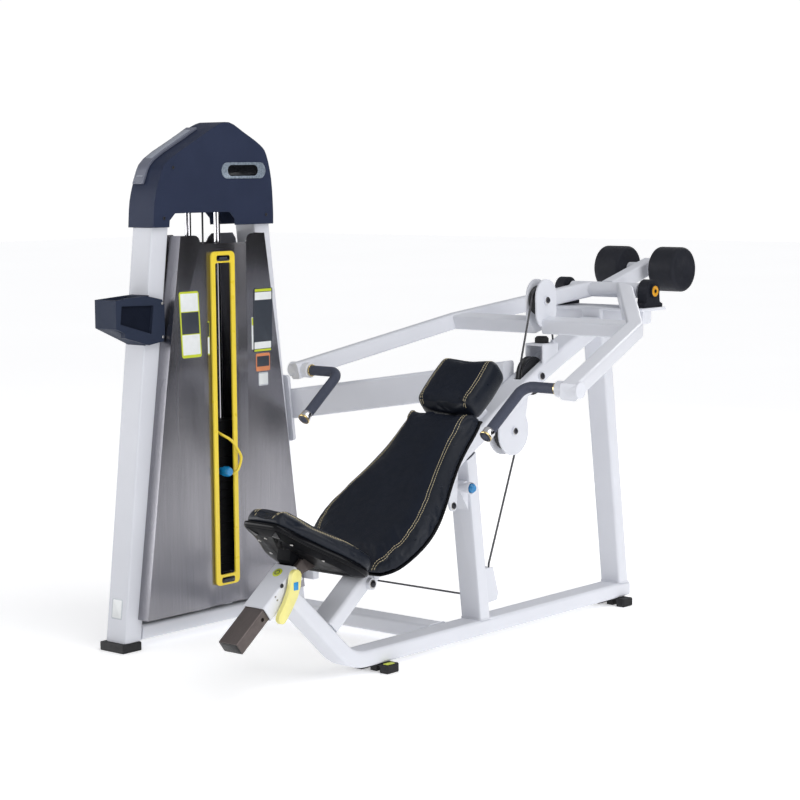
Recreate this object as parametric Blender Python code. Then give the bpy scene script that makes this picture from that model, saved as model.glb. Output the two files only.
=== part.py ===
"""Incline chest press machine with a side weight stack tower.

World frame, metres: +X is the seated user's left, +Y runs from the seat to the rear post, +Z is up.
The floor is Z = 0 and the bench's centre plane is X = 0. The tower stands on the user's right.
"""

from math import asin, atan2, cos, pi, radians, sin, tan

import bmesh
import bpy
from mathutils import Matrix, Vector

GAP = 0.0003  # clearance between pieces that touch

# ---- driving dimensions: bench frame -------------------------------------------------------
FOOT_THICK = 0.008  # the frame's underside, measured from the datum that all heights here use
FOOT_DROP = 0.019  # how far the rubber feet reach below that datum; main() sets the machine down on them
TUBE_W = 0.080  # main frame tube, across X
TUBE_H = 0.048  # main frame tube, the other way
TUBE_ROUND = 0.010
TUBE_WALL = 0.003
BASE_Z = FOOT_THICK + GAP + TUBE_H / 2  # centre line of the tubes on the floor
BASE_FRONT_Y = -0.080
BASE_REAR_Y = 1.232
POST_LEAN = 0.125  # forward shift of a post per metre of height
KNOB_CENTRE = Vector((0.0, 0.354, 0.475))
KNOB_SLEEVE_X = 0.056
MID_POST_Y = 0.470  # centre of the middle post at floor level
REAR_POST_Y = 1.207
RISER_ANGLE = radians(43.0)
RISER_BEND = 0.140
SLIDE_ANGLE = radians(37.0)  # the seat post climbs rearwards at this angle
SLEEVE_CENTRE = Vector((0.0, -0.423, 0.276))
SLEEVE_LONG = 0.158
SLEEVE_W = 0.080
SLEEVE_H = 0.050
SEAT_TILT = radians(31.5)  # the seat's rim plane falls rearwards at this angle
SEAT_NOSE = Vector((0.0, -0.475, 0.481))
BACK_ANGLE = radians(40.9)
BACK_FOOT = Vector((0.0, -0.108, 0.360))  # foot of the back pad's face, on the centre plane
SPINE_H = 0.055
SPINE_ROUTE = ((-0.052, 0.268), (0.298, 0.533), (0.455, 0.626), (0.771, 0.789), (1.060, 0.912))

# ---- driving dimensions: press arm ---------------------------------------------------------
PIVOT = Vector((0.0, 1.151, 1.024))
ARM_TUBE = 0.050
ELBOW = Vector((0.350, 0.800, 0.930))
ARM_TIP = Vector((0.515, 0.2455, 0.805))
ARM_ROOT_X = 0.070
BOSS_R = 0.0235
BOSS_X = (0.4695, 0.550)
GRIP_R = 0.0155
GRIP_END = Vector((0.345, 0.075, 0.677))
GRIP_CORNER_X = 0.352
WEIGHT_CENTRE = Vector((0.0, 1.369, 1.083))
WEIGHT_R = 0.073
WEIGHT_X = (0.058, 0.158)
BEARING_X = 0.1635

# ---- driving dimensions: weight stack tower ------------------------------------------------
TOWER_X = -0.772  # mid plane of the tower
TOWER_Y = 0.087
TOWER_DEEP = 0.088
UPRIGHT_W = 0.070
UPRIGHT_LEAN = 0.1168  # inward shift of an upright per metre of height
TOWER_HALF_FOOT = 0.399  # outer half width at floor level
HOOD_BOTTOM = 1.250
# the hood's side outline, from its front lower corner over the top to its rear lower corner, as (Y, Z)
HOOD_OUTLINE = ((-0.1705, 1.2500), (-0.163, 1.330), (-0.140, 1.400), (-0.105, 1.450), (0.020, 1.515),
                (0.100, 1.555), (0.155, 1.566), (0.220, 1.535), (0.290, 1.497), (0.318, 1.465), (0.338, 1.390),
                (0.3445, 1.300), (0.3445, 1.2500))
HOOD_X = (-0.828, -0.716)
ROD_PITCH = 0.124
ROD_Y = (TOWER_Y - ROD_PITCH / 2, TOWER_Y + ROD_PITCH / 2)
ROD_R = 0.010
STACK_W = 0.230
STACK_DEEP = 0.088
PLATE_THICK = 0.0260
STACK_BOTTOM = 0.165
FIXED_PLATES = 12
LIFTED_PLATES = 5
# the face of the tower that looks at the bench
SHROUD_X = -0.682
SHROUD_Z = (0.075, 1.2240)
PANEL_X = SHROUD_X - 0.0095  # the recessed panel's face
PANEL_HALF = 0.061
PANEL_TOP = 1.197
WING_INNER = 0.097
WING_OUTER = (0.344, 0.2505, 0.180)  # outer half widths at the foot, at the knee and at the top

# ---- driving dimensions: cable and wheels --------------------------------------------------
CABLE_R = 0.0033
CABLE_Y = 0.4625  # the cable's run from the tower to the bench
CABLE_Z = 0.124
PULLEY_R = 0.042  # the two wheels under the hood
GROOVE_R = PULLEY_R - 0.005 + CABLE_R + 0.0006
TOP_PULLEYS = (TOWER_Y + GROOVE_R, 0.252)
TOP_PULLEY_Z = 1.430
LOW_PULLEY = (0.628, 0.614)  # centres of the bench's wheels as (Y, Z)
LOW_PULLEY_R = 0.058
SLOT_PULLEY = (0.740, 0.776)
SLOT_PULLEY_R = 0.060
ARM_PULLEY = (0.795, 1.008)
ARM_PULLEY_R = 0.046

scene = bpy.context.scene


def clear_scene():
    for obj in list(bpy.data.objects):
        bpy.data.objects.remove(obj, do_unlink=True)


# ---- materials -----------------------------------------------------------------------------
def material(name, colour, roughness, metallic=0.0):
    made = bpy.data.materials.new(name)
    made.use_nodes = True
    shader = made.node_tree.nodes["Principled BSDF"]
    shader.inputs["Base Color"].default_value = (*colour, 1.0)
    shader.inputs["Roughness"].default_value = roughness
    shader.inputs["Metallic"].default_value = metallic
    return made


def paint(name, colour, roughness=0.35):
    return material(name + "_finish", colour, roughness)


WHITE = (0.80, 0.81, 0.85)
CHARCOAL = (0.028, 0.034, 0.060)
BLACK = (0.012, 0.013, 0.016)
CHROME = (0.75, 0.75, 0.77)
YELLOW = (0.93, 0.72, 0.09)
BLUE = (0.01, 0.20, 0.45)
SEAT_STEEL = (0.075, 0.065, 0.060)
VINYL = (0.012, 0.016, 0.024)
SLATE = (0.045, 0.052, 0.078)


# ---- building helpers ----------------------------------------------------------------------
def publish(name, bm, look, pivot=None, smooth=32):
    """Turns a bmesh in world coordinates into an object whose origin is its pivot's."""
    bmesh.ops.recalc_face_normals(bm, faces=bm.faces)
    if pivot:
        bmesh.ops.translate(bm, verts=bm.verts, vec=-pivot.location)
    mesh = bpy.data.meshes.new(name)
    bm.to_mesh(mesh)
    bm.free()
    mesh.materials.append(look)
    if smooth:
        mesh.shade_smooth()
        mesh.set_sharp_from_angle(angle=radians(smooth))
    obj = bpy.data.objects.new(name, mesh)
    scene.collection.objects.link(obj)
    obj.parent = pivot
    return obj


def pivot_at(name, place):
    empty = bpy.data.objects.new(name, None)
    empty.location = place
    scene.collection.objects.link(empty)
    return empty


def cut(target, cutter, operation="DIFFERENCE"):
    """Applies a Boolean with a hidden helper and removes the helper."""
    cutter.hide_render = True
    cutter.display_type = "WIRE"
    modifier = target.modifiers.new(cutter.name, "BOOLEAN")
    modifier.operation = operation
    modifier.object = cutter
    bpy.context.view_layer.update()
    graph = bpy.context.evaluated_depsgraph_get()
    result = bpy.data.meshes.new_from_object(target.evaluated_get(graph))
    target.modifiers.remove(modifier)
    target.data = result
    bpy.data.objects.remove(cutter, do_unlink=True)


def rounded_section(width, height, radius, steps=3):
    """Corner-rounded rectangle, anticlockwise, as (across, up) pairs."""
    points = []
    for corner, (sx, sy) in enumerate(((1, 1), (-1, 1), (-1, -1), (1, -1))):
        for step in range(steps + 1):
            turn = corner * pi / 2 + step * pi / 2 / steps
            points.append((sx * (width / 2 - radius) + radius * cos(turn),
                           sy * (height / 2 - radius) + radius * sin(turn)))
    return points


def round_section(radius, sides=12):
    return [(radius * cos(2 * pi * i / sides), radius * sin(2 * pi * i / sides)) for i in range(sides)]


def sweep_rings(bm, route, section, across, end_normals):
    """One ring of vertices per route point, mitred where the route bends."""
    route = [Vector(p) for p in route]
    heading = (route[1] - route[0]).normalized()
    side = (Vector(across) - heading * heading.dot(Vector(across))).normalized()
    rings = []
    for i, centre in enumerate(route):
        arriving = heading
        if i < len(route) - 1:
            leaving = (route[i + 1] - centre).normalized()
        else:
            leaving = arriving
        if i == 0:
            plane = Vector(end_normals[0]) if end_normals[0] else leaving
            arriving = leaving
        elif i == len(route) - 1:
            plane = Vector(end_normals[1]) if end_normals[1] else arriving
        else:
            plane = (arriving + leaving).normalized()
        up = arriving.cross(side).normalized()
        ring = []
        for x, y in section:
            offset = side * x + up * y
            offset -= arriving * (offset.dot(plane) / arriving.dot(plane))
            ring.append(bm.verts.new(centre + offset))
        rings.append(ring)
        side = arriving.rotation_difference(leaving) @ side
        heading = leaving
    return rings


def skin(bm, rings, flip=False):
    for lower, upper in zip(rings, rings[1:]):
        count = len(lower)
        for i in range(count):
            j = (i + 1) % count
            face = [lower[i], lower[j], upper[j], upper[i]]
            bm.faces.new(reversed(face) if flip else face)


def tube(name, route, section, look, across=(1, 0, 0), inner=None, ends=(None, None), pivot=None):
    """A bar along a route, or a hollow tube that is open at both ends when inner is its bore's section."""
    bm = bmesh.new()
    outer_rings = sweep_rings(bm, route, section, across, ends)
    skin(bm, outer_rings)
    if inner:
        inner_rings = sweep_rings(bm, route, inner, across, ends)
        skin(bm, inner_rings, flip=True)
        for outside, inside in ((outer_rings[0], inner_rings[0]), (inner_rings[-1], outer_rings[-1])):
            for i in range(len(outside)):
                j = (i + 1) % len(outside)
                bm.faces.new((outside[i], inside[i], inside[j], outside[j]))
    else:
        bm.faces.new(reversed(outer_rings[0]))
        bm.faces.new(outer_rings[-1])
    return publish(name, bm, look, pivot)


def square_tube(name, route, width, height, look, ends=(None, None)):
    """A hollow rectangular tube that is open at both ends."""
    inner = rounded_section(width - 2 * TUBE_WALL, height - 2 * TUBE_WALL, TUBE_ROUND - TUBE_WALL, 2)
    return tube(name, route, rounded_section(width, height, TUBE_ROUND, 2), look, inner=inner, ends=ends)


def block(name, low, high, look, round_edges=0.0, pivot=None, segments=2):
    """An upright box between two corners with rounded edges."""
    bm = bmesh.new()
    bmesh.ops.create_cube(bm, size=1.0)
    low, high = Vector(low), Vector(high)
    bmesh.ops.scale(bm, verts=bm.verts, vec=high - low)
    bmesh.ops.translate(bm, verts=bm.verts, vec=(low + high) / 2)
    if round_edges:
        bmesh.ops.bevel(bm, geom=bm.edges[:], offset=round_edges, segments=segments, profile=0.5,
                        affect="EDGES")
    return publish(name, bm, look, pivot)


def turned(name, profile, centre, axis, look, sides=24, pivot=None):
    """A closed solid of revolution. profile is (along, radius) pairs; it starts and ends on the axis or loops."""
    bm = bmesh.new()
    turn = Vector((0, 0, 1)).rotation_difference(Vector(axis)).to_matrix()
    centre = Vector(centre)
    rings = []
    for along, radius in profile:
        if radius <= 0:
            rings.append([bm.verts.new(centre + turn @ Vector((0, 0, along)))])
            continue
        rings.append([bm.verts.new(centre + turn @ Vector((radius * cos(2 * pi * i / sides),
                                                          radius * sin(2 * pi * i / sides), along)))
                      for i in range(sides)])
    pairs = list(zip(rings, rings[1:]))
    if profile[0][1] > 0:
        pairs.append((rings[-1], rings[0]))
    for lower, upper in pairs:
        for i in range(sides):
            j = (i + 1) % sides
            if len(lower) == 1:
                bm.faces.new((lower[0], upper[i], upper[j]))
            elif len(upper) == 1:
                bm.faces.new((lower[j], lower[i], upper[0]))
            else:
                bm.faces.new((lower[i], lower[j], upper[j], upper[i]))
    return publish(name, bm, look, pivot)


def ring_profile(low, high, bore, outer, ease=0.0):
    """Closed profile of a bushing or a wheel with eased outer edges."""
    return [(low, bore), (low, outer - ease), (low + ease, outer), (high - ease, outer), (high, outer - ease),
            (high, bore)]


def extruded(name, outline, low, high, look, plane="YZ"):
    """A plate with the given outline in the YZ or XY plane, from low to high along the plane's normal."""
    bm = bmesh.new()

    def place(a, b, depth):
        if plane == "YZ":
            return Vector((depth, a, b))
        return Vector((a, b, depth))

    near = [bm.verts.new(place(a, b, low)) for a, b in outline]
    far = [bm.verts.new(place(a, b, high)) for a, b in outline]
    bm.faces.new(near)
    bm.faces.new(reversed(far))
    skin(bm, [near, far])
    return publish(name, bm, look)


def arc(centre, radius, start, end, steps):
    """Points on an arc, angles in degrees."""
    return [(centre[0] + radius * cos(radians(start + (end - start) * i / steps)),
             centre[1] + radius * sin(radians(start + (end - start) * i / steps))) for i in range(steps + 1)]


def smooth_route(points, per_span=4):
    """Catmull-Rom curve through the given points."""
    points = [Vector(p) for p in points]
    padded = [points[0] * 2 - points[1], *points, points[-1] * 2 - points[-2]]
    route = []
    for a, b, c, d in zip(padded, padded[1:], padded[2:], padded[3:]):
        for step in range(per_span):
            t = step / per_span
            route.append(0.5 * ((2 * b) + (c - a) * t + (2 * a - 5 * b + 4 * c - d) * t ** 2
                                + (3 * b - a - 3 * c + d) * t ** 3))
    route.append(points[-1])
    return route


def fillet(points, radius, steps=5):
    """Replaces each inner corner of a polyline by an arc of the given radius."""
    points = [Vector(p) for p in points]
    route = [points[0]]
    for before, corner, after in zip(points, points[1:], points[2:]):
        back = (before - corner).normalized()
        ahead = (after - corner).normalized()
        half = back.angle(ahead) / 2
        reach = radius / tan(half)
        centre = corner + (back + ahead).normalized() * (radius / sin(half))
        start = corner + back * reach - centre
        turn = start.rotation_difference(corner + ahead * reach - centre)
        for step in range(steps + 1):
            route.append(centre + Matrix.Rotation(turn.angle * step / steps, 3, turn.axis) @ start)
    route.append(points[-1])
    return route


def along_slide(distance, lift=0.0, x=0.0):
    """A point on the seat slide: distance up the slide from the sleeve's centre, lift square to it."""
    return SLEEVE_CENTRE + Vector((x, distance * cos(SLIDE_ANGLE) - lift * sin(SLIDE_ANGLE),
                                   distance * sin(SLIDE_ANGLE) + lift * cos(SLIDE_ANGLE)))


def on_back(across, up, lift=0.0):
    """A point on the back pad's face: across X, up the slope, lift out of the face."""
    return BACK_FOOT + Vector((across, up * cos(BACK_ANGLE) - lift * sin(BACK_ANGLE),
                               up * sin(BACK_ANGLE) + lift * cos(BACK_ANGLE)))


def post_centre(foot_y, z):
    return Vector((0.0, foot_y - POST_LEAN * z, z))


def upright_y(side, z, inset=0.0):
    """Outer face of an upright on the +Y (side 1) or -Y (side -1) half of the tower."""
    return TOWER_Y + side * (TOWER_HALF_FOOT - UPRIGHT_LEAN * z - inset)


# ---- finishes ------------------------------------------------------------------------------
clear_scene()
frame_paint = paint("frame_white", WHITE, 0.30)
arm_paint = paint("arm_white", WHITE, 0.30)
hood_plastic = paint("hood_charcoal", CHARCOAL, 0.45)
rail_plastic = paint("rail_grey", (0.16, 0.17, 0.20), 0.40)
holder_plastic = paint("holder_slate", SLATE, 0.50)
slot_paint = paint("slot_yellow", YELLOW, 0.35)
lever_paint = paint("lever_yellow", (0.83, 0.80, 0.33), 0.40)
pin_plastic = paint("pin_blue", BLUE, 0.30)
pulley_nylon = paint("pulley_black", BLACK, 0.40)
rubber = paint("rubber_black", BLACK, 0.85)
shell_plastic = paint("shell_black", BLACK, 0.15)
pad_vinyl = paint("pad_vinyl", VINYL, 0.55)
grip_rubber = paint("grip_slate", SLATE, 0.75)
weight_paint = paint("weight_black", (0.02, 0.022, 0.028), 0.60)
plate_iron = material("plate_iron", (0.05, 0.05, 0.055), 0.55, 0.6)
shroud_steel = material("shroud_steel", (0.30, 0.29, 0.29), 0.30, 1.0)
rod_chrome = material("rod_chrome", CHROME, 0.10, 1.0)
post_steel = material("post_steel", SEAT_STEEL, 0.40, 0.8)
cable_coat = material("cable_grey", (0.10, 0.10, 0.11), 0.45, 0.3)


# ---- bench frame ---------------------------------------------------------------------------
def spine_route():
    return smooth_route([(0.0, y, z) for y, z in SPINE_ROUTE], 3)


def spine_at(y):
    """Centre height and slope of the spine above a given Y."""
    route = spine_route()
    for a, b in zip(route, route[1:]):
        if a.y <= y <= b.y:
            slope = (b.z - a.z) / (b.y - a.y)
            return a.z + slope * (y - a.y), atan2(b.z - a.z, b.y - a.y)
    raise ValueError("outside the spine")


def frame_bar(name, route, ends=(None, None), height=TUBE_H, width=TUBE_W, look=frame_paint, pivot=None,
              across=(1, 0, 0), radius=TUBE_ROUND):
    return tube(name, route, rounded_section(width, height, radius), look, across=across, ends=ends, pivot=pivot)


def base_tube():
    """The floor tube and, in one bend, the riser that carries the seat sleeve."""
    bend = arc((BASE_FRONT_Y, BASE_Z + RISER_BEND), RISER_BEND, -90, -133, 6)
    direction = Vector((0, -cos(RISER_ANGLE), sin(RISER_ANGLE)))
    start = Vector((0, *bend[-1]))
    normal = Vector((0, -sin(SLIDE_ANGLE), cos(SLIDE_ANGLE)))
    underside = along_slide(0, -SLEEVE_H / 2 - 2 * GAP)
    top = start + direction * ((underside - start).dot(normal) / direction.dot(normal))
    route = [(0, BASE_REAR_Y, BASE_Z)] + [(0, y, z) for y, z in bend] + [top]
    frame_bar("base_tube", route, ends=(None, normal))


def cross_tube():
    """Ties the tower's base beam to the bench's floor tube."""
    y = 0.325
    frame_bar("cross_tube", [(TOWER_X + TOWER_DEEP / 2 + GAP, y, BASE_Z), (-TUBE_W / 2 - GAP, y, BASE_Z)],
              across=(0, 1, 0), width=0.080)


def front_strut():
    """Props the spine's lower end from the riser."""
    direction = Vector((0, cos(SLIDE_ANGLE), sin(SLIDE_ANGLE)))
    foot = Vector((0, -0.215, 0.153))
    riser_normal = Vector((0, sin(RISER_ANGLE), cos(RISER_ANGLE)))
    bend_end = Vector((0, BASE_FRONT_Y - RISER_BEND * sin(RISER_ANGLE),
                       BASE_Z + RISER_BEND * (1 - cos(RISER_ANGLE))))
    face = bend_end + riser_normal * (TUBE_H / 2 + 2 * GAP)
    start = foot + direction * ((face - foot).dot(riser_normal) / direction.dot(riser_normal))
    end = foot + direction * 0.1950
    strut = frame_bar("front_strut", [start, end], ends=(riser_normal, None))
    for side in (-1, 1):
        boss = turned("boss", [(-0.010, 0.0), (-0.010, 0.017), (0.010, 0.017), (0.010, 0.0)],
                      (side * 0.042, -0.071, 0.2495), (1, 0, 0), frame_paint)
        cut(strut, boss, "UNION")
    return strut


def mid_post():
    top_y = MID_POST_Y - POST_LEAN * 0.565
    z, slope = spine_at(top_y)
    top = Vector((0, top_y, z - SPINE_H / 2 / cos(slope) - 0.0030))
    bottom = post_centre(MID_POST_Y, BASE_Z + TUBE_H / 2 + GAP)
    post = square_tube("mid_post", [bottom, top], TUBE_W, TUBE_H, frame_paint,
                       ends=((0, 0, 1), (0, -sin(slope), cos(slope))))
    cheek_profile = [(0.474, 0.096), (0.548, 0.100), (0.556, 0.120), (0.530, 0.205), (0.468, 0.205)]
    for x in (-0.0145, 0.0095):
        cut(post, extruded("cheek", cheek_profile, x, x + 0.005, frame_paint), "UNION")
    cut(post, turned("sleeve", [(-0.020, 0.0), (-0.020, 0.0125), (KNOB_SLEEVE_X, 0.0125), (KNOB_SLEEVE_X, 0.0)],
                     KNOB_CENTRE, (1, 0, 0), frame_paint, sides=20), "UNION")
    bridge = [(0.352, 0.462), (0.392, 0.400), (0.392, 0.492), (0.360, 0.484)]
    cut(post, extruded("bridge", bridge, -0.012, 0.030, frame_paint), "UNION")
    cut(post, block("mouth", (-0.0090, 0.470, 0.095), (0.0090, 0.490, 0.150), frame_paint))
    bore(post, (-TUBE_W / 2, CABLE_Y, CABLE_Z), (1, 0, 0), 0.0060, 0.02)
    return post


def rear_post():
    """The rear post with the crossbar and the shelf that the bearings stand on."""
    shelf_z = PIVOT.z - 0.052
    bottom = post_centre(REAR_POST_Y, BASE_Z + TUBE_H / 2 + GAP)
    top = post_centre(REAR_POST_Y, shelf_z - 0.006)
    post = frame_bar("rear_post", [bottom, top], ends=((0, 0, 1), (0, 0, 1)))
    bar = block("bar", (-0.195, 1.075, shelf_z - 0.050), (0.195, 1.125, shelf_z - 0.004), frame_paint, 0.008)
    cut(post, bar, "UNION")
    shelf = block("shelf", (-0.195, 1.068, shelf_z - 0.010), (0.195, 1.205, shelf_z - GAP), frame_paint, 0.002,
                  segments=1)
    cut(post, shelf, "UNION")


def under_back(y, depth):
    """Height of the plane that lies at a depth behind the back pad's face."""
    return BACK_FOOT.z + (y - BACK_FOOT.y) * tan(BACK_ANGLE) - depth / cos(BACK_ANGLE)


def spine_tube():
    """The bent tube under the pads, with its welded web, pulley cheeks and stop bracket."""
    spine = frame_bar("spine_tube", spine_route(), height=SPINE_H, ends=(None, (0, 1, POST_LEAN)))
    cheek = arc((0.628, 0.614), 0.074, -215, 35, 18) + [(0.700, 0.715), (0.590, 0.660)]
    for low in (-0.0215, 0.0165):
        cut(spine, extruded("cheek", cheek, low, low + 0.005, frame_paint), "UNION")
    web = [(0.215, 0.480), (0.300, 0.535), (0.470, 0.635), (0.520, 0.665), (0.445, under_back(0.445, 0.0605)),
           (0.350, under_back(0.350, 0.0605)), (0.222, under_back(0.222, 0.0605))]
    foot = [(-0.020, 0.280), (0.055, 0.335), (0.055, under_back(0.055, 0.0565)),
            (-0.020, under_back(-0.020, 0.0565))]
    cut(spine, extruded("foot", foot, -0.030, 0.030, frame_paint), "UNION")
    cut(spine, extruded("web", web, -0.016, 0.016, frame_paint), "UNION")
    lug = arc((0.317, 0.422), 0.016, 200, 340, 8) + [(0.341, 0.555), (0.275, 0.520)]
    cut(spine, extruded("lug", lug, 0.027, 0.034, frame_paint), "UNION")
    z, slope = spine_at(0.820)
    bracket = block("bracket", (-0.036, 0.760, z), (0.036, 0.840, 0.874), frame_paint, 0.003, segments=1)
    cut(bracket, block("window", (-0.030, 0.700, z - 0.02), (0.030, 0.900, 0.867), frame_paint))
    cut(spine, bracket, "UNION")
    cut(spine, block("slot", (-0.0140, 0.6700, 0.60), (0.0140, 0.8080, 0.8600), frame_paint))
    join(spine, axle_bolt((0, *SLOT_PULLEY), TUBE_W / 2 - GAP, head=0.013))
    join(spine, axle_bolt((0, *LOW_PULLEY), 0.0210, head=0.013))
    anchor = turned("anchor", [(0.835, 0.0), (0.835, 0.007), (0.880, 0.007), (0.880, 0.0)], (0, 0.858, 0),
                    (0, 0, 1), frame_paint, sides=16)
    cut(spine, anchor, "UNION")
    return spine


def seat_sleeve():
    outer = rounded_section(SLEEVE_W, SLEEVE_H, 0.006)
    inner = rounded_section(SLEEVE_W - 0.0076, SLEEVE_H - 0.0076, 0.003)
    tube("seat_sleeve", [along_slide(-SLEEVE_LONG / 2), along_slide(SLEEVE_LONG / 2)], outer, frame_paint,
         inner=inner)


def feet():
    """Rubber pads that the machine stands on."""
    for name, y in (("front", 0.0), ("rear", 1.185)):
        foot = block("base_foot_" + name, (-0.066, y - 0.026, -FOOT_DROP), (0.066, y + 0.026, FOOT_THICK), rubber,
                     0.003, segments=1)
        for side in (-1, 1):
            low, high = sorted((side * 0.012, side * 0.036))
            cut(foot, block("relief", (low, y - 0.05, -0.030), (high, y + 0.05, 0.002), rubber))
        for end in (-1, 1):
            low, high = sorted((y + end * 0.012, y + end * 0.05))
            cut(foot, block("relief", (-0.0361, low, -0.030), (0.0361, high, 0.002), rubber))
    for name, side in (("tower_foot_front", -1), ("tower_foot_rear", 1)):
        outer = upright_y(side, 0, -0.014)
        inner = upright_y(side, 0, 0.062)
        block(name, (TOWER_X - 0.052, min(outer, inner), -FOOT_DROP),
              (TOWER_X + 0.052, max(outer, inner), FOOT_THICK), rubber, 0.002, segments=1)


def link_beam():
    """The beam from the tower's rear upright to the spine, with its bolted flange."""
    height = 0.655
    lean = Vector((0, 1, UPRIGHT_LEAN)).normalized()
    face = Vector((TOWER_X + 0.012, upright_y(1, height), height))
    rise = Vector((0, -UPRIGHT_LEAN, 1)).normalized()
    start = face + lean * 0.006 + Vector((0.030, 0, 0.012))
    end = Vector((-TUBE_W / 2 - GAP, 0.682, 0.776))
    direction = end - start
    beam = tube("link_beam", [start, end], rounded_section(0.050, 0.095, 0.010), frame_paint,
                across=(-direction.y, direction.x, 0), ends=(lean, (1, 0, 0)))
    plate = tube("flange", [face + lean * GAP, face + lean * 0.0125], rounded_section(0.090, 0.215, 0.010),
                 frame_paint)
    cut(beam, plate, "UNION")
    for along in (-0.088, 0.088):
        for x in (-0.028, 0.028):
            head = turned("head", [(-0.002, 0.0), (-0.002, 0.010), (0.007, 0.010), (0.007, 0.0)],
                          face + lean * 0.0125 + rise * along + Vector((x, 0, 0)), lean, frame_paint, sides=6)
            cut(beam, head, "UNION")


# ---- seat and back -------------------------------------------------------------------------
def on_seat(across, back, lift=0.0):
    """A point on the seat's rim plane: across X, back from the nose, lift out of the plane."""
    return SEAT_NOSE + Vector((across, back * cos(SEAT_TILT) + lift * sin(SEAT_TILT),
                               -back * sin(SEAT_TILT) + lift * cos(SEAT_TILT)))


def mirrored(half):
    """Closed outline from its +X half, listed from the low end to the high end."""
    return half + [(-x, s) for x, s in reversed(half)]


def seat_outline(inset=0.0):
    half = [(0.046, 0.009), (0.066, 0.019), (0.080, 0.048), (0.096, 0.100), (0.128, 0.165), (0.156, 0.215),
            (0.170, 0.265), (0.166, 0.305), (0.140, 0.328), (0.095, 0.336)]
    return inset_outline(mirrored(half), inset)


def back_outline(inset=0.0):
    half = [(0.092, -0.056), (0.134, -0.048), (0.170, -0.022), (0.196, 0.025), (0.212, 0.085), (0.210, 0.150),
            (0.192, 0.225), (0.167, 0.305), (0.149, 0.375), (0.141, 0.435), (0.136, 0.500), (0.128, 0.535),
            (0.108, 0.549)]
    return inset_outline(mirrored(half), inset)


def head_outline(inset=0.0):
    half = [(0.076, 0.553), (0.096, 0.557), (0.108, 0.573), (0.113, 0.640), (0.110, 0.712), (0.099, 0.735),
            (0.074, 0.743)]
    return inset_outline(mirrored(half), inset)


def inset_outline(outline, inset):
    """Moves every point of a closed outline inwards along its corner's bisector."""
    if not inset:
        return outline
    moved = []
    count = len(outline)
    for i, point in enumerate(outline):
        a, b, c = Vector(outline[i - 1]), Vector(point), Vector(outline[(i + 1) % count])
        first = (b - a).normalized()
        second = (c - b).normalized()
        normal = (Vector((-first.y, first.x)) + Vector((-second.y, second.x))).normalized()
        moved.append(tuple(b + normal * inset))
    return moved


def padded_solid(name, place, layers, look, pivot=None, smooth=50):
    """Stacks outlines, given as (outline, lift) pairs, into one closed cushion or shell."""
    bm = bmesh.new()
    rings = [[bm.verts.new(place(x, s, lift)) for x, s in outline] for outline, lift in layers]
    skin(bm, rings)
    bm.faces.new(reversed(rings[0]))
    bm.faces.new(rings[-1])
    return publish(name, bm, look, pivot, smooth)


def seat_parts(slide):
    """Everything that travels up the sleeve: post, plug, shell and pad."""
    low, high = -0.2080, 0.113
    post = tube("seat_post", [along_slide(low), along_slide(high)], rounded_section(0.070, 0.039, 0.004),
                post_steel, pivot=slide)
    for step in range(4):
        hole = turned("hole", [(0.0, 0.0), (0.0, 0.006), (0.02, 0.006), (0.02, 0.0)],
                      along_slide(-0.098 + 0.025 * step, x=0.026) - slide.location, (1, 0, 0), post_steel, sides=12)
        hole.location = slide.location
        bpy.context.view_layer.update()
        cut(post, hole)
    corners = [along_slide(0.084, -0.0190), on_seat(0, 0.250, -0.0263), on_seat(0, 0.135, -0.0263),
               along_slide(0.084, 0.040)]
    join(post, extruded("saddle", [(corner.y, corner.z) for corner in corners], -0.022, 0.022, post_steel))
    padded_solid("seat_shell", on_seat,
                 [(seat_outline(0.045), -0.026), (seat_outline(0.012), -0.018), (seat_outline(), -0.008),
                  (seat_outline(), -GAP)], shell_plastic, slide)
    padded_solid("seat_pad", on_seat,
                 [(seat_outline(0.003), GAP), (seat_outline(0.001), 0.020), (seat_outline(0.006), 0.040),
                  (seat_outline(0.028), 0.054)], pad_vinyl, slide)


def back_parts():
    padded_solid("back_shell", on_back,
                 [(back_outline(0.030), -0.0560), (back_outline(0.008), -0.0545), (back_outline(0.001), -0.0510),
                  (back_outline(0.001), -0.0463)], shell_plastic)
    padded_solid("back_pad", on_back,
                 [(back_outline(0.003), -0.0460), (back_outline(0.001), -0.030), (back_outline(0.006), -0.014),
                  (back_outline(0.030), 0.0)], pad_vinyl)
    padded_solid("head_pad", on_back,
                 [(head_outline(0.010), -0.0600), (head_outline(0.0), -0.048), (head_outline(0.0), 0.000),
                  (head_outline(0.008), 0.018), (head_outline(0.026), 0.026)], pad_vinyl)


def seat_lever(pivot):
    """The release handle on the sleeve's left side."""
    x = 0.0540
    route = fillet([(x, -0.391, 0.328), (x, -0.402, 0.276), (x, -0.449, 0.211)], 0.060, 4)
    lever = tube("seat_lever", route, rounded_section(0.013, 0.037, 0.006), lever_paint, pivot=pivot)
    hub = turned("hub", [(0.0403, 0.0), (0.0403, 0.009), (0.052, 0.009), (0.052, 0.0)],
                 (0.0, pivot.location.y, pivot.location.z), (1, 0, 0), lever_paint, sides=16)
    join(lever, hub)


def lock_knob(pivot):
    """Sprung pull pin on the side of the middle post."""
    x = KNOB_SLEEVE_X + GAP
    turned("lock_knob", [(x, 0.0), (x, 0.009), (x + 0.004, 0.010), (x + 0.008, 0.0140), (x + 0.022, 0.0140),
                         (x + 0.027, 0.010), (x + 0.027, 0.0)], pivot.location, (1, 0, 0), pin_plastic, pivot=pivot)


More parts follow.
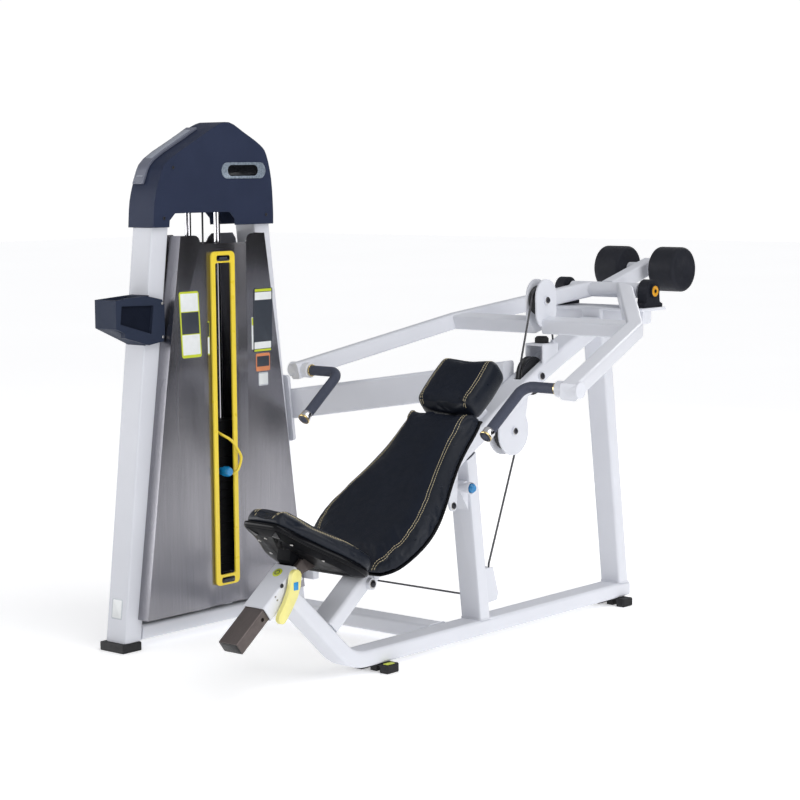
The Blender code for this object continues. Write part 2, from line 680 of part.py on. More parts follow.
# ---- press arm -----------------------------------------------------------------------------
def arm_tube_route(side):
    root = Vector((side * ARM_ROOT_X, PIVOT.y, PIVOT.z))
    elbow = Vector((side * ELBOW.x, ELBOW.y, ELBOW.z))
    tip = Vector((side * ARM_TIP.x, ARM_TIP.y, ARM_TIP.z))
    past_tip = tip + (tip - elbow).normalized() * 0.022
    return [root + (elbow - root).normalized() * 0.010, elbow, past_tip]


def arm_tube(name, side, size, pivot=None):
    route = arm_tube_route(side)
    heading = route[1] - route[0]
    return frame_bar(name, route, width=size, height=size, look=arm_paint, pivot=pivot,
                     across=(-heading.y, heading.x, 0), ends=((0, -0.966, -0.259), None), radius=0.008)


def axle_bolt(centre, reach, head=0.011):
    """An axle along X with a head on each side, reach being the distance to the heads' inner faces."""
    profile = [(-reach - 0.007, 0.0), (-reach - 0.007, head), (-reach, head), (-reach, 0.0060), (reach, 0.0060),
               (reach, head), (reach + 0.007, head), (reach + 0.007, 0.0)]
    return turned("axle", profile, centre, (1, 0, 0), frame_paint, sides=16)


def pulley(name, centre, radius, half_width, pivot=None):
    """A grooved wheel along X with a recessed face and a bore."""
    rim = radius - 0.005
    profile = [(-half_width, 0.0065), (-half_width, 0.016), (-half_width + 0.003, 0.020),
               (-half_width + 0.003, rim - 0.006), (-half_width, rim - 0.002), (-half_width, radius),
               (-half_width + 0.003, radius), (-0.0036, rim), (0.0036, rim), (half_width - 0.003, radius),
               (half_width, radius), (half_width, rim - 0.002), (half_width - 0.003, rim - 0.006),
               (half_width - 0.003, 0.020), (half_width, 0.016), (half_width, 0.0065)]
    turned(name, profile, centre, (1, 0, 0), pulley_nylon, sides=28, pivot=pivot)


def bore(target, centre, axis, radius, half_long, sides=16):
    """Drills a round hole through an object."""
    offset = target.parent.location if target.parent else Vector((0, 0, 0))
    drill = turned("bore", [(-half_long, 0.0), (-half_long, radius), (half_long, radius), (half_long, 0.0)],
                   Vector(centre) - offset, axis, frame_paint, sides=sides)
    drill.location = offset
    bpy.context.view_layer.update()
    cut(target, drill)


def rename(obj, name, pivot):
    """Gives a piece made in world coordinates its final name and pivot."""
    obj.name = name
    obj.data.transform(Matrix.Translation(-pivot.location))
    obj.parent = pivot


def join(target, piece):
    """Welds a piece made in world coordinates onto an object that may hang from a pivot."""
    bpy.context.view_layer.update()
    cut(target, piece, "UNION")


def press_arm(pivot):
    shaft = [(-0.176, 0.0), (-0.176, 0.0125), (-0.132, 0.0125), (-0.132, 0.0245), (0.132, 0.0245),
             (0.132, 0.0125), (0.176, 0.0125), (0.176, 0.0)]
    turned("arm_pivot_tube", shaft, PIVOT, (1, 0, 0), arm_paint, sides=28, pivot=pivot)
    for name, side in (("left", 1), ("right", -1)):
        arm = arm_tube("arm_" + name, side, ARM_TUBE, pivot)
        bore(arm, PIVOT, (1, 0, 0), 0.0250, 0.20, 28)
        low, high = sorted((side * BOSS_X[0], side * BOSS_X[1]))
        boss = turned("boss", [(low, 0.0), (low, BOSS_R - 0.002), (low + 0.002, BOSS_R), (high - 0.002, BOSS_R),
                               (high, BOSS_R - 0.002), (high, 0.0)],
                      (0, ARM_TIP.y, ARM_TIP.z), (1, 0, 0), arm_paint, sides=28)
        join(arm, boss)
        grip_route = fillet([(side * (BOSS_X[0] - GAP), ARM_TIP.y, ARM_TIP.z),
                             (side * GRIP_CORNER_X, ARM_TIP.y, ARM_TIP.z),
                             (side * GRIP_END.x, GRIP_END.y, GRIP_END.z)], 0.034, 6)
        tube("grip_" + name, grip_route, round_section(GRIP_R, 16), grip_rubber, across=(0, 1, 0), pivot=pivot)
    crosspiece(pivot)
    counterweight(pivot)


def crosspiece(pivot):
    """Two stub tubes between the elbows and the two cheeks that hold the cable wheel."""
    tilt = Vector((0, cos(radians(14)), sin(radians(14))))
    outline = arc((0.797, 0.972), 0.0520, 180, 360, 12) + arc((0.797, 1.022), 0.0520, 0, 180, 12)
    halves = []
    for side in (1, -1):
        half = frame_bar("half", [(side * 0.345, ELBOW.y, ELBOW.z), (side * 0.0165, ELBOW.y, ELBOW.z)],
                         width=0.050, height=0.046, across=tilt, look=arm_paint, radius=0.008)
        join(half, extruded("cheek", outline, *sorted((side * 0.0160, side * 0.0210)), arm_paint))
        halves.append(half)
    whole = axle_bolt((0, *ARM_PULLEY), 0.0200, head=0.013)
    for half in halves:
        join(whole, half)
    for side in (1, -1):
        fat = arm_tube("fat", side, ARM_TUBE + 4 * GAP)
        bpy.context.view_layer.update()
        cut(whole, fat)
    rename(whole, "arm_crosspiece", pivot)


def counterweight(pivot):
    """A tube behind the pivot with a round weight on each side."""
    end = PIVOT + (WEIGHT_CENTRE - PIVOT) * 1.16
    start = PIVOT + (end - PIVOT).normalized() * 0.010
    beam = frame_bar("counterweight_tube", [start, end], width=0.045, height=0.050, look=arm_paint,
                     pivot=pivot, radius=0.006)
    bore(beam, PIVOT, (1, 0, 0), 0.0250, 0.20, 28)
    reach = WEIGHT_X[1] - 0.004
    axle = turned("axle", [(-reach, 0.0), (-reach, 0.0120), (-WEIGHT_X[0] + GAP, 0.0120),
                           (-WEIGHT_X[0] + GAP, 0.0200), (WEIGHT_X[0] - GAP, 0.0200),
                           (WEIGHT_X[0] - GAP, 0.0120), (reach, 0.0120), (reach, 0.0)],
                  WEIGHT_CENTRE, (1, 0, 0), arm_paint, sides=20)
    join(beam, axle)
    for name, side in (("left", 1), ("right", -1)):
        low, high = sorted((side * WEIGHT_X[0], side * WEIGHT_X[1]))
        turned("counterweight_" + name, ring_profile(low, high, 0.0125, WEIGHT_R, 0.010), WEIGHT_CENTRE,
               (1, 0, 0), weight_paint, sides=36, pivot=pivot)


def bearings():
    """Pillow blocks on the shelf, closed by their end covers."""
    for name, side in (("left", 1), ("right", -1)):
        flange = [(-0.053, -0.052), (0.053, -0.052), (0.053, -0.042), (0.038, -0.035)]
        dome = arc((0.0, 0.0), 0.037, -15, 195, 14)
        outline = [(PIVOT.y + a, PIVOT.z + b) for a, b in flange + dome + [(-0.038, -0.035), (-0.053, -0.042)]]
        low, high = sorted((side * (BEARING_X - 0.0175), side * (BEARING_X + 0.0175)))
        housing = extruded("pillow_block_" + name, outline, low, high, weight_paint)
        bore(housing, PIVOT, (1, 0, 0), 0.0130, 0.30, 28)
        face = BEARING_X + 0.0175
        low, high = sorted((side * (face - 0.002), side * (face + 0.007)))
        cap = [(low, 0.0), (low, 0.021), (high, 0.021), (high, 0.0)]
        join(housing, turned("cap", cap, PIVOT, (1, 0, 0), weight_paint))


# ---- weight stack tower --------------------------------------------------------------------
def tower_frame():
    base_top = BASE_Z + TUBE_H / 2
    inner = TOWER_HALF_FOOT - UPRIGHT_W - UPRIGHT_LEAN * BASE_Z - GAP
    base = frame_bar("tower_base_beam", [(TOWER_X, TOWER_Y - inner, BASE_Z), (TOWER_X, TOWER_Y + inner, BASE_Z)],
                     width=TOWER_DEEP, ends=((0, 1, -UPRIGHT_LEAN), (0, 1, UPRIGHT_LEAN)))
    for y in ROD_Y:
        join(base, turned("flange", [(-0.004, 0.0), (-0.004, 0.030), (0.008, 0.030), (0.008, 0.0)],
                          (TOWER_X, y, base_top), (0, 0, 1), frame_paint, sides=20))
    for name, side in (("front", -1), ("rear", 1)):
        foot = (TOWER_X, upright_y(side, FOOT_THICK, UPRIGHT_W / 2), FOOT_THICK + GAP)
        top = (TOWER_X, upright_y(side, HOOD_BOTTOM, UPRIGHT_W / 2), HOOD_BOTTOM - GAP)
        upright = square_tube("tower_upright_" + name, [foot, top], TOWER_DEEP, UPRIGHT_W, frame_paint,
                              ends=((0, 0, 1), (0, 0, 1)))
        if side > 0:
            guide = block("guide", (-0.730, 0.441, 0.098), (-0.652, 0.468, 0.150), frame_paint, 0.003,
                          segments=1)
            join(upright, guide)
            bore(upright, (-0.690, CABLE_Y, CABLE_Z), (1, 0, 0), 0.0045, 0.060)
    beam = block("tower_top_beam", (-0.815, -0.115, 1.300), (-0.7835, 0.300, 1.350), frame_paint, 0.004, segments=1)
    for y, top_y in ((-0.140, -0.100), (0.270, 0.310)):
        join(beam, block("tongue", (-0.812, y, HOOD_BOTTOM), (-0.790, top_y, 1.340), frame_paint))
    for y in ROD_Y:
        join(beam, block("lug", (-0.800, y - 0.018, 1.304), (TOWER_X + 0.018, y + 0.018, 1.324), frame_paint))
    for centre in TOP_PULLEYS:
        plate = [(centre - 0.020, 1.330), (centre + 0.020, 1.330)] + arc((centre, TOP_PULLEY_Z), 0.020, 0, 180, 6)
        join(beam, extruded("plate", plate, -0.798, -0.788, frame_paint))
        join(beam, turned("axle", [(-0.010, 0.0), (-0.010, 0.006), (0.032, 0.006), (0.032, 0.0)],
                          (-0.792, centre, TOP_PULLEY_Z), (1, 0, 0), frame_paint, sides=12))


def hood_curve():
    """The hood's outline, rounded between its named points."""
    return [(point.y, point.z) for point in smooth_route([(0.0, y, z) for y, z in HOOD_OUTLINE], 3)]


def hood():
    """The moulded cover: a shell with an arch at the bottom."""
    hood_line = hood_curve()
    body = extruded("tower_hood", hood_line, *HOOD_X, hood_plastic)
    arch = [(-0.110, 1.200), (0.178, 1.200), (0.172, 1.270), (0.150, 1.291), (-0.080, 1.291), (-0.103, 1.270)]
    cut(body, extruded("arch", arch, -0.900, -0.600, hood_plastic))
    hollow = inset_outline(hood_line, -0.0035)
    hollow[0] = (hollow[0][0], 1.2300)
    hollow[-1] = (hollow[-1][0], 1.2300)
    cut(body, extruded("hollow", hollow, HOOD_X[0] + 0.0035, HOOD_X[1] - 0.0035, hood_plastic))
    path = [Vector(point) for point in hood_line[5:15]]
    outer, inner = [], []
    for i, point in enumerate(path):
        ahead = path[min(i + 1, len(path) - 1)] - path[max(i - 1, 0)]
        normal = Vector((-ahead.y, ahead.x)).normalized()
        inner.append(tuple(point + normal * GAP * 1.5))
        outer.append(tuple(point + normal * 0.0075))
    extruded("hood_rail", inner + outer[::-1], -0.822, -0.776, rail_plastic)


def wing_outline(side):
    """Front face of one wing: tapered outside, upright inside, with a rounded inner corner at the top."""
    low, high = SHROUD_Z
    outer = [(WING_OUTER[0], low), (WING_OUTER[1], 0.757), (WING_OUTER[2], high)]
    corner = arc((WING_INNER + 0.026, high - 0.024), 0.024, 90, 180, 4)
    inner = [(WING_INNER, PANEL_TOP), (WING_INNER, low)]
    return [(TOWER_Y + side * half, z) for half, z in outer + corner + inner]


def return_outline(side, width):
    """Narrow strip behind a wing's outer edge."""
    low, high = SHROUD_Z
    line = [(WING_OUTER[0], low), (WING_OUTER[1], 0.757), (WING_OUTER[2], high)]
    strip = line + [(half - width, z) for half, z in reversed(line)]
    return [(TOWER_Y + side * half, z) for half, z in strip]


def recess_section():
    """Plan view of the recessed middle: two slanted strips and the flat panel between them."""
    thick = 0.002
    face = [(SHROUD_X, WING_INNER + 0.004), (SHROUD_X, WING_INNER), (PANEL_X, PANEL_HALF)]
    back = [(x - thick, y - 0.0004) for x, y in face]
    across = face + [(x, -y) for x, y in reversed(face)]
    behind = [(x, -y) for x, y in back] + list(reversed(back))
    return [(x, TOWER_Y + y) for x, y in across + behind]


def shroud():
    """Folded sheets: two wings with returns, the recessed panel, its yellow slot frame and the rear cover."""
    low, high = SHROUD_Z
    sheet = extruded("tower_shroud", recess_section(), low, PANEL_TOP, shroud_steel, plane="XY")
    for side in (-1, 1):
        wing = extruded("wing", wing_outline(side), SHROUD_X - 0.002, SHROUD_X, shroud_steel)
        join(wing, extruded("strip", return_outline(side, 0.002), -0.7275, SHROUD_X - 0.001, shroud_steel))
        join(sheet, wing)
    slot = [(TOWER_Y - 0.037, 0.160), (TOWER_Y + 0.037, 0.160), (TOWER_Y + 0.037, 1.142), (TOWER_Y - 0.037, 1.142)]
    cut(sheet, extruded("slot", slot, PANEL_X - 0.01, PANEL_X + 0.01, shroud_steel))
    frame = extruded("slot_frame", rounded_frame(0.0508, 0.135, 1.172, 0.016), PANEL_X + GAP, PANEL_X + 0.0065,
                     slot_paint)
    cut(frame, extruded("slot", rounded_frame(0.0335, 0.168, 1.137, 0.006), -0.9, -0.6, slot_paint))
    half = [(0.344, low), (0.2505, 0.757), (0.189, 1.205), (0.175, 1.223), (0.085, 1.223), (0.070, 1.212),
            (0.060, 1.197)]
    cover = [(TOWER_Y + y, z) for y, z in half] + [(TOWER_Y - y, z) for y, z in reversed(half)]
    extruded("tower_back_cover", cover, -0.8200, -0.8166, shroud_steel)


def rounded_frame(half, bottom, top, radius):
    """Outline of a tall rounded rectangle centred on the stack."""
    outline = []
    for sy, sz, start in ((1, 1, 0), (-1, 1, 90), (-1, -1, 180), (1, -1, 270)):
        z = top - radius if sz > 0 else bottom + radius
        outline += arc((TOWER_Y + sy * (half - radius), z), radius, start, start + 90, 4)
    return outline


def plate_pile(name, bottom, plates, pivot=None, thick=PLATE_THICK, pin_z=None):
    """Iron plates drawn as one body, with a groove at each joint."""
    bm = bmesh.new()
    rings = []
    for plate in range(plates):
        low = bottom + plate * thick
        for z, inset in ((low, 0.0015), (low + 0.0015, 0.0), (low + thick - 0.0015, 0.0), (low + thick, 0.0015)):
            if rings and inset and z == low:
                continue
            section = rounded_section(STACK_DEEP - 2 * inset, STACK_W - 2 * inset, 0.004, 1)
            rings.append([bm.verts.new((TOWER_X + x, TOWER_Y + y, z)) for x, y in section])
    skin(bm, rings)
    bm.faces.new(reversed(rings[0]))
    bm.faces.new(rings[-1])
    pile = publish(name, bm, plate_iron, pivot)
    if pin_z:
        bpy.context.view_layer.update()
        cut(pile, pin_hole(pin_z))
    for y in ROD_Y:
        bore(pile, (TOWER_X, y, bottom + plates * thick / 2), (0, 0, 1), 0.0112, 0.5)
    return pile


def pin_hole(z):
    return block("pin_hole", (-0.900, TOWER_Y - 0.0056, z - 0.0056), (-0.600, TOWER_Y + 0.0056, z + 0.0056),
                 plate_iron)


def weight_stack(pivot, pin):
    split = STACK_BOTTOM + FIXED_PLATES * PLATE_THICK
    pin_z = split + PLATE_THICK / 2
    lower = plate_pile("stack_plates_resting", STACK_BOTTOM, FIXED_PLATES)
    bore(lower, (TOWER_X, TOWER_Y, split - 0.2), (0, 0, 1), 0.0115, 0.4)
    lifted = plate_pile("stack_plates_lifted", split + GAP, LIFTED_PLATES, pivot, pin_z=pin_z)
    bore(lifted, (TOWER_X, TOWER_Y, split), (0, 0, 1), 0.0103, 0.4)
    top_low = split + LIFTED_PLATES * PLATE_THICK + 2 * GAP
    top = plate_pile("stack_top_plate", top_low, 1, pivot, 0.034)
    bore(top, (TOWER_X, TOWER_Y, top_low), (0, 0, 1), 0.0103, 0.4)
    turned("selector_rod", [(0.0, 0.0), (0.0, 0.0100), (top_low + 0.034 - 0.180 + GAP, 0.0100),
                            (top_low + 0.034 - 0.180 + GAP, 0.0170), (top_low + 0.050 - 0.180, 0.0170),
                            (top_low + 0.056 - 0.180, 0.0100), (top_low + 0.056 - 0.180, 0.0)],
           (TOWER_X, TOWER_Y, 0.180), (0, 0, 1), rod_chrome, sides=16, pivot=pivot)
    bpy.context.view_layer.update()
    cut(bpy.data.objects["selector_rod"], pin_hole(pin_z))
    turned("selector_pin", [(-0.785, 0.0), (-0.785, 0.0048), (-0.712, 0.0048), (-0.709, 0.012), (-0.698, 0.0125),
                            (-0.694, 0.0160), (-0.676, 0.0160), (-0.669, 0.0120), (-0.669, 0.0)],
           (0, TOWER_Y, pin_z), (1, 0, 0), pin_plastic, sides=20, pivot=pin)
    clip = Vector((TOWER_X + STACK_DEEP / 2 + 0.0058, TOWER_Y - 0.010, top_low + 0.010))
    loop = smooth_route([clip, (-0.700, TOWER_Y - 0.006, top_low - 0.002), (-0.675, TOWER_Y + 0.014, top_low - 0.022),
                         (-0.671, TOWER_Y + 0.044, top_low - 0.062), (-0.671, TOWER_Y + 0.050, top_low - 0.084),
                         (-0.674, TOWER_Y + 0.038, pin_z + 0.002), (-0.681, TOWER_Y + 0.0215, pin_z - 0.010)], 3)
    tube("pin_lanyard", loop, round_section(0.0045, 8), slot_paint, across=(0, 1, 0), pivot=pivot)
    for name, y in zip(("front", "rear"), ROD_Y):
        base = BASE_Z + TUBE_H / 2 + 0.008 + GAP
        turned("guide_rod_" + name, [(base, 0.0), (base, ROD_R), (1.304 - GAP, ROD_R), (1.304 - GAP, 0.0)],
               (TOWER_X, y, 0), (0, 0, 1), rod_chrome, sides=20)
        turned("rod_buffer_" + name, ring_profile(base, STACK_BOTTOM - GAP, 0.0105, 0.024, 0.006),
               (TOWER_X, y, 0), (0, 0, 1), rubber, sides=20)


def accessory_holder():
    """The tray on the outer side of the front upright."""
    low, high = 0.90, 1.05
    skirt = [(-0.335, 0.957), (upright_y(-1, low) - GAP * 2, low), (upright_y(-1, high) - GAP * 2, high),
             (-0.335, 1.041)]
    holder = extruded("accessory_holder", skirt, -0.800, -0.722, holder_plastic)
    cheek = [(-0.300, 0.929), (-0.205, 0.902), (-0.146, 0.910), (-0.140, 0.930), (-0.140, 1.020), (-0.150, 1.036),
             (-0.205, 1.048), (-0.300, 1.046)]
    join(holder, extruded("cheek", cheek, TOWER_X + TOWER_DEEP / 2 + GAP, -0.708, holder_plastic))
    join(holder, extruded("nose", [(-0.335, 0.957), (-0.240, 0.921), (-0.240, 1.047), (-0.335, 1.041)],
                          -0.800, -0.708, holder_plastic))
    pocket = [(-0.318, 0.970), (-0.195, 0.935), (-0.185, 1.020), (-0.312, 1.024)]
    cut(holder, extruded("pocket", pocket, -0.716, -0.650, holder_plastic))
    well = block("well", (-0.790, -0.322, 0.990), (-0.722, -0.225, 1.100), holder_plastic)
    cut(holder, well)


# ---- cables and bench pulleys --------------------------------------------------------------
def belt(stations, steps=8):
    """Centre line of a cable round circles in the YZ plane.

    A station is (y, z, radius, side); side 1 keeps the circle on the left of the direction of travel,
    -1 on the right, and radius 0 is a plain end point.
    """
    points = []
    arriving = None
    for here, there in zip(stations, stations[1:]):
        gap = Vector((there[0] - here[0], there[1] - here[1]))
        heading = atan2(gap.y, gap.x) - asin((there[3] * there[2] - here[3] * here[2]) / gap.length)
        if here[2] and arriving is not None:
            turn = (heading - arriving + pi) % (2 * pi) - pi
            if turn * here[3] < 0:
                turn += 2 * pi * here[3]
            for step in range(steps):
                points.append(on_circle(here, arriving + turn * step / steps))
        points.append(on_circle(here, heading))
        points.append(on_circle(there, heading))
        arriving = heading
    unique = [points[0]]
    for point in points[1:]:
        if (point - unique[-1]).length > 0.0005:
            unique.append(point)
    return unique


def on_circle(station, heading):
    y, z, radius, side = station
    return Vector((y + side * radius * sin(heading), z - side * radius * cos(heading)))


def cable(name, route, sides=8):
    tube(name, route, round_section(CABLE_R, sides), cable_coat, across=(0.3, 0.9, 0.1))


def cables():
    split = STACK_BOTTOM + FIXED_PLATES * PLATE_THICK + LIFTED_PLATES * PLATE_THICK + 2 * GAP
    upright_top = upright_y(1, HOOD_BOTTOM, UPRIGHT_W / 2)
    over = belt([(TOWER_Y, 1.300, 0, 0), (TOP_PULLEYS[0], TOP_PULLEY_Z, GROOVE_R, -1),
                 (TOP_PULLEYS[1], TOP_PULLEY_Z, GROOVE_R, -1), (upright_top, 1.200, 0, 0)])
    run = [Vector((TOWER_X, y, z)) for y, z in over]
    corner = fillet([run[-1], (TOWER_X, CABLE_Y, CABLE_Z), (-0.500, CABLE_Y, CABLE_Z)], 0.020, 5)
    cable("cable_stack", [(TOWER_X, TOWER_Y, split + 0.0565), (TOWER_X, TOWER_Y, 1.2995)], 6)
    bend = fillet([(-0.500, CABLE_Y, CABLE_Z), (0, CABLE_Y, CABLE_Z), (0, 0.515, CABLE_Z), (0, 0.528, 0.215)],
                  0.020, 5)
    climb = belt([(0.528, 0.215, 0, 0), (*LOW_PULLEY, LOW_PULLEY_R - 0.0011, 1),
                  (*SLOT_PULLEY, SLOT_PULLEY_R - 0.0011, -1), (*ARM_PULLEY, ARM_PULLEY_R - 0.0004, -1),
                  (0.858, 0.8807, 0, 0)], 10)
    climb = [Vector((0, y, z)) for y, z in climb]
    arrival = next(i for i, point in enumerate(climb) if point.z > 0.9)
    split_point = climb[arrival - 1].lerp(climb[arrival], 0.1)
    step = (climb[arrival] - split_point).normalized() * GAP
    cable("cable_lower", run[:-1] + corner[1:-1] + bend[1:-1] + climb[:arrival] + [split_point - step], 6)
    cable("cable_arm", [split_point] + climb[arrival:])


def bench_pulleys():
    pulley("low_pulley", (0, *LOW_PULLEY), LOW_PULLEY_R, 0.0125,
           pivot=pivot_at("low_pulley_axis", (0, *LOW_PULLEY)))
    pulley("slot_pulley", (0, *SLOT_PULLEY), SLOT_PULLEY_R, 0.0110,
           pivot=pivot_at("slot_pulley_axis", (0, *SLOT_PULLEY)))
    for name, y in zip(("front", "rear"), TOP_PULLEYS):
        pulley("top_pulley_" + name, (TOWER_X, y, TOP_PULLEY_Z), PULLEY_R, 0.0090,
               pivot=pivot_at("top_pulley_axis_" + name, (TOWER_X, y, TOP_PULLEY_Z)))


def stop_bumper():
    turned("stop_bumper", [(0.8743, 0.0), (0.8743, 0.022), (0.889, 0.022), (0.895, 0.016), (0.895, 0.0)],
           (0.0, 0.800, 0.0), (0, 0, 1), rubber)


def main():
    slide = pivot_at("seat_slide_axis", SLEEVE_CENTRE)
    arm = pivot_at("press_arm_axis", PIVOT)
    stack = pivot_at("stack_axis", (TOWER_X, TOWER_Y, STACK_BOTTOM))
    pin = pivot_at("pin_axis", (-0.700, TOWER_Y, 0.490))
    base_tube()
    cross_tube()
    front_strut()
    mid_post()
    rear_post()
    spine_tube()
    seat_sleeve()
    feet()
    link_beam()
    seat_parts(slide)
    back_parts()
    seat_lever(pivot_at("lever_axis", (0.054, -0.397, 0.300)))
    lock_knob(pivot_at("knob_axis", KNOB_CENTRE))
    press_arm(arm)
    bearings()
    pulley("arm_pulley", (0, *ARM_PULLEY), ARM_PULLEY_R, 0.0125,
           pivot=pivot_at("arm_pulley_axis", (0, *ARM_PULLEY)))
    tower_frame()
    hood()
    shroud()
    weight_stack(stack, pin)
    accessory_holder()
    bench_pulleys()
    stop_bumper()
    cables()
    for obj in bpy.data.objects:
        if not obj.parent:
            obj.location.z += FOOT_DROP


main()
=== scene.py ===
"""Looks for the incline chest press machine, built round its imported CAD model.

World frame, metres: +X is the seated user's left, +Y runs from the seat to the rear post, +Z is up.
"""

from math import cos, pi, radians, sin

import bmesh
import bpy
import numpy as np
from mathutils import Matrix, Vector
from mathutils.bvhtree import BVHTree


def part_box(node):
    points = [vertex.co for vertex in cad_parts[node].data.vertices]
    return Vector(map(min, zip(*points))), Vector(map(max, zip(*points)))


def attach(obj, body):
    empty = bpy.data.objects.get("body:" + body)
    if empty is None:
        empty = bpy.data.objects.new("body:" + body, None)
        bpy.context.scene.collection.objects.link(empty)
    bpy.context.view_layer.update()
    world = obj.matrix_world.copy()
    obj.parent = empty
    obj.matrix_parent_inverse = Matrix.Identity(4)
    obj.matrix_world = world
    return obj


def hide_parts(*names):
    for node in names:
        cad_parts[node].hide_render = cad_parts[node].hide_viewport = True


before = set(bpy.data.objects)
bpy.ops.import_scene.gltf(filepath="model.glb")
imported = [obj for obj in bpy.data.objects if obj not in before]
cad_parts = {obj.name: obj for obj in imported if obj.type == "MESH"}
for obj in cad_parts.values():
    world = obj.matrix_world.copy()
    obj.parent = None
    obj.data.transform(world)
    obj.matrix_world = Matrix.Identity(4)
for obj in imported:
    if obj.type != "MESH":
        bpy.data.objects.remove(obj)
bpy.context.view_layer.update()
scene = bpy.context.scene

# ---- places taken from the model ------------------------------------------------------------
DATUM = 0.019  # height of the CAD source's own zero above the floor
POST_LEAN = 0.125  # run towards -Y for each metre of rise
UPRIGHT_LEAN = 0.1168
MID_POST_Y = 0.470  # where each post's centre line meets the CAD source's zero height
REAR_POST_Y = 1.207
BACK_ANGLE = radians(40.9)
BACK_FOOT = Vector((0.0, -0.108, 0.379))
SEAT_TILT = radians(31.5)
SEAT_NOSE = Vector((0.0, -0.475, 0.500))
SLIDE_ANGLE = radians(37.0)
SLEEVE_CENTRE = Vector((0.0, -0.423, 0.295))
TOWER_X = -0.772
TOWER_Y = 0.087
SHROUD_X = -0.682
PANEL_X = -0.6915
HOOD_FACE_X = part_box("tower_hood")[1].x
FRAME_FACE_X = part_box("slot_frame")[1].x
PIVOT = Vector((0.0, 1.151, 1.043))
ARM_WHEEL = Vector((0.0, 0.795, 1.027))
WEIGHT_CENTRE = (0, 1.369, 1.102)
LOCK_KNOB = (0.0, 0.354, 0.494)
CREASE_ANGLE = radians(34)
SWELL_FRAMES = 20
STITCH_PITCH = 0.0080
STITCH_LENGTH = 0.0056
STITCH_OFFSET = 0.0034
CAMERA_PLACE = (3.989, -4.548, 1.446)


def on_back(across, up, lift=0.0):
    """A point on the back pad's face: across X, up the slope, lift out of the face."""
    return BACK_FOOT + Vector((across, up * cos(BACK_ANGLE) - lift * sin(BACK_ANGLE),
                               up * sin(BACK_ANGLE) + lift * cos(BACK_ANGLE)))


def on_seat(across, back, lift=0.0):
    """A point on the seat's rim plane: across X, back from the nose, lift out of the plane."""
    return SEAT_NOSE + Vector((across, back * cos(SEAT_TILT) + lift * sin(SEAT_TILT),
                               -back * sin(SEAT_TILT) + lift * cos(SEAT_TILT)))


def on_sleeve(along, lift=0.0, x=0.0):
    """A point on the seat slide: along the slide, lift square to it."""
    return SLEEVE_CENTRE + Vector((x, along * cos(SLIDE_ANGLE) - lift * sin(SLIDE_ANGLE),
                                   along * sin(SLIDE_ANGLE) + lift * cos(SLIDE_ANGLE)))


# ---- camera, light and floor ----------------------------------------------------------------
def set_camera():
    turn, pitch, roll = radians(40.54), radians(6.25), radians(0.49)
    ahead = Vector((-sin(turn) * cos(pitch), cos(turn) * cos(pitch), -sin(pitch)))
    right = Vector((cos(turn), sin(turn), 0.0))
    down = ahead.cross(right)
    across = right * cos(roll) + down * sin(roll)
    under = down * cos(roll) - right * sin(roll)
    camera = bpy.data.objects.new("photo_camera", bpy.data.cameras.new("photo_camera"))
    camera.matrix_world = Matrix((
        (across.x, -under.x, -ahead.x, CAMERA_PLACE[0]),
        (across.y, -under.y, -ahead.y, CAMERA_PLACE[1]),
        (across.z, -under.z, -ahead.z, CAMERA_PLACE[2]),
        (0.0, 0.0, 0.0, 1.0)))
    camera.data.sensor_width = 36.0
    camera.data.lens = 96.1
    camera.data.clip_end = 100.0
    scene.collection.objects.link(camera)
    scene.camera = camera


def area_light(name, place, target, size, power):
    light = bpy.data.lights.new(name, "AREA")
    light.shape = "RECTANGLE"
    light.size, light.size_y = size
    light.energy = power
    lamp = bpy.data.objects.new(name, light)
    lamp.location = place
    lamp.rotation_euler = (Vector(target) - Vector(place)).to_track_quat("-Z", "Y").to_euler()
    lamp.visible_camera = False
    scene.collection.objects.link(lamp)


def flag(name, corners_at, look):
    """A card that only reflections see."""
    mesh = bpy.data.meshes.new(name)
    mesh.from_pydata([Vector(c) for c in corners_at], [], [(0, 1, 2, 3)])
    mesh.materials.append(look)
    card = bpy.data.objects.new(name, mesh)
    card.visible_camera = card.visible_diffuse = card.visible_shadow = False
    scene.collection.objects.link(card)


def glowing(look, strength):
    """Gives a look a white glow of its own."""
    set_inputs(look.node_tree.nodes["Principled BSDF"],
               {"Emission Color": (1.0, 1.0, 1.0, 1.0), "Emission Strength": strength})
    return look


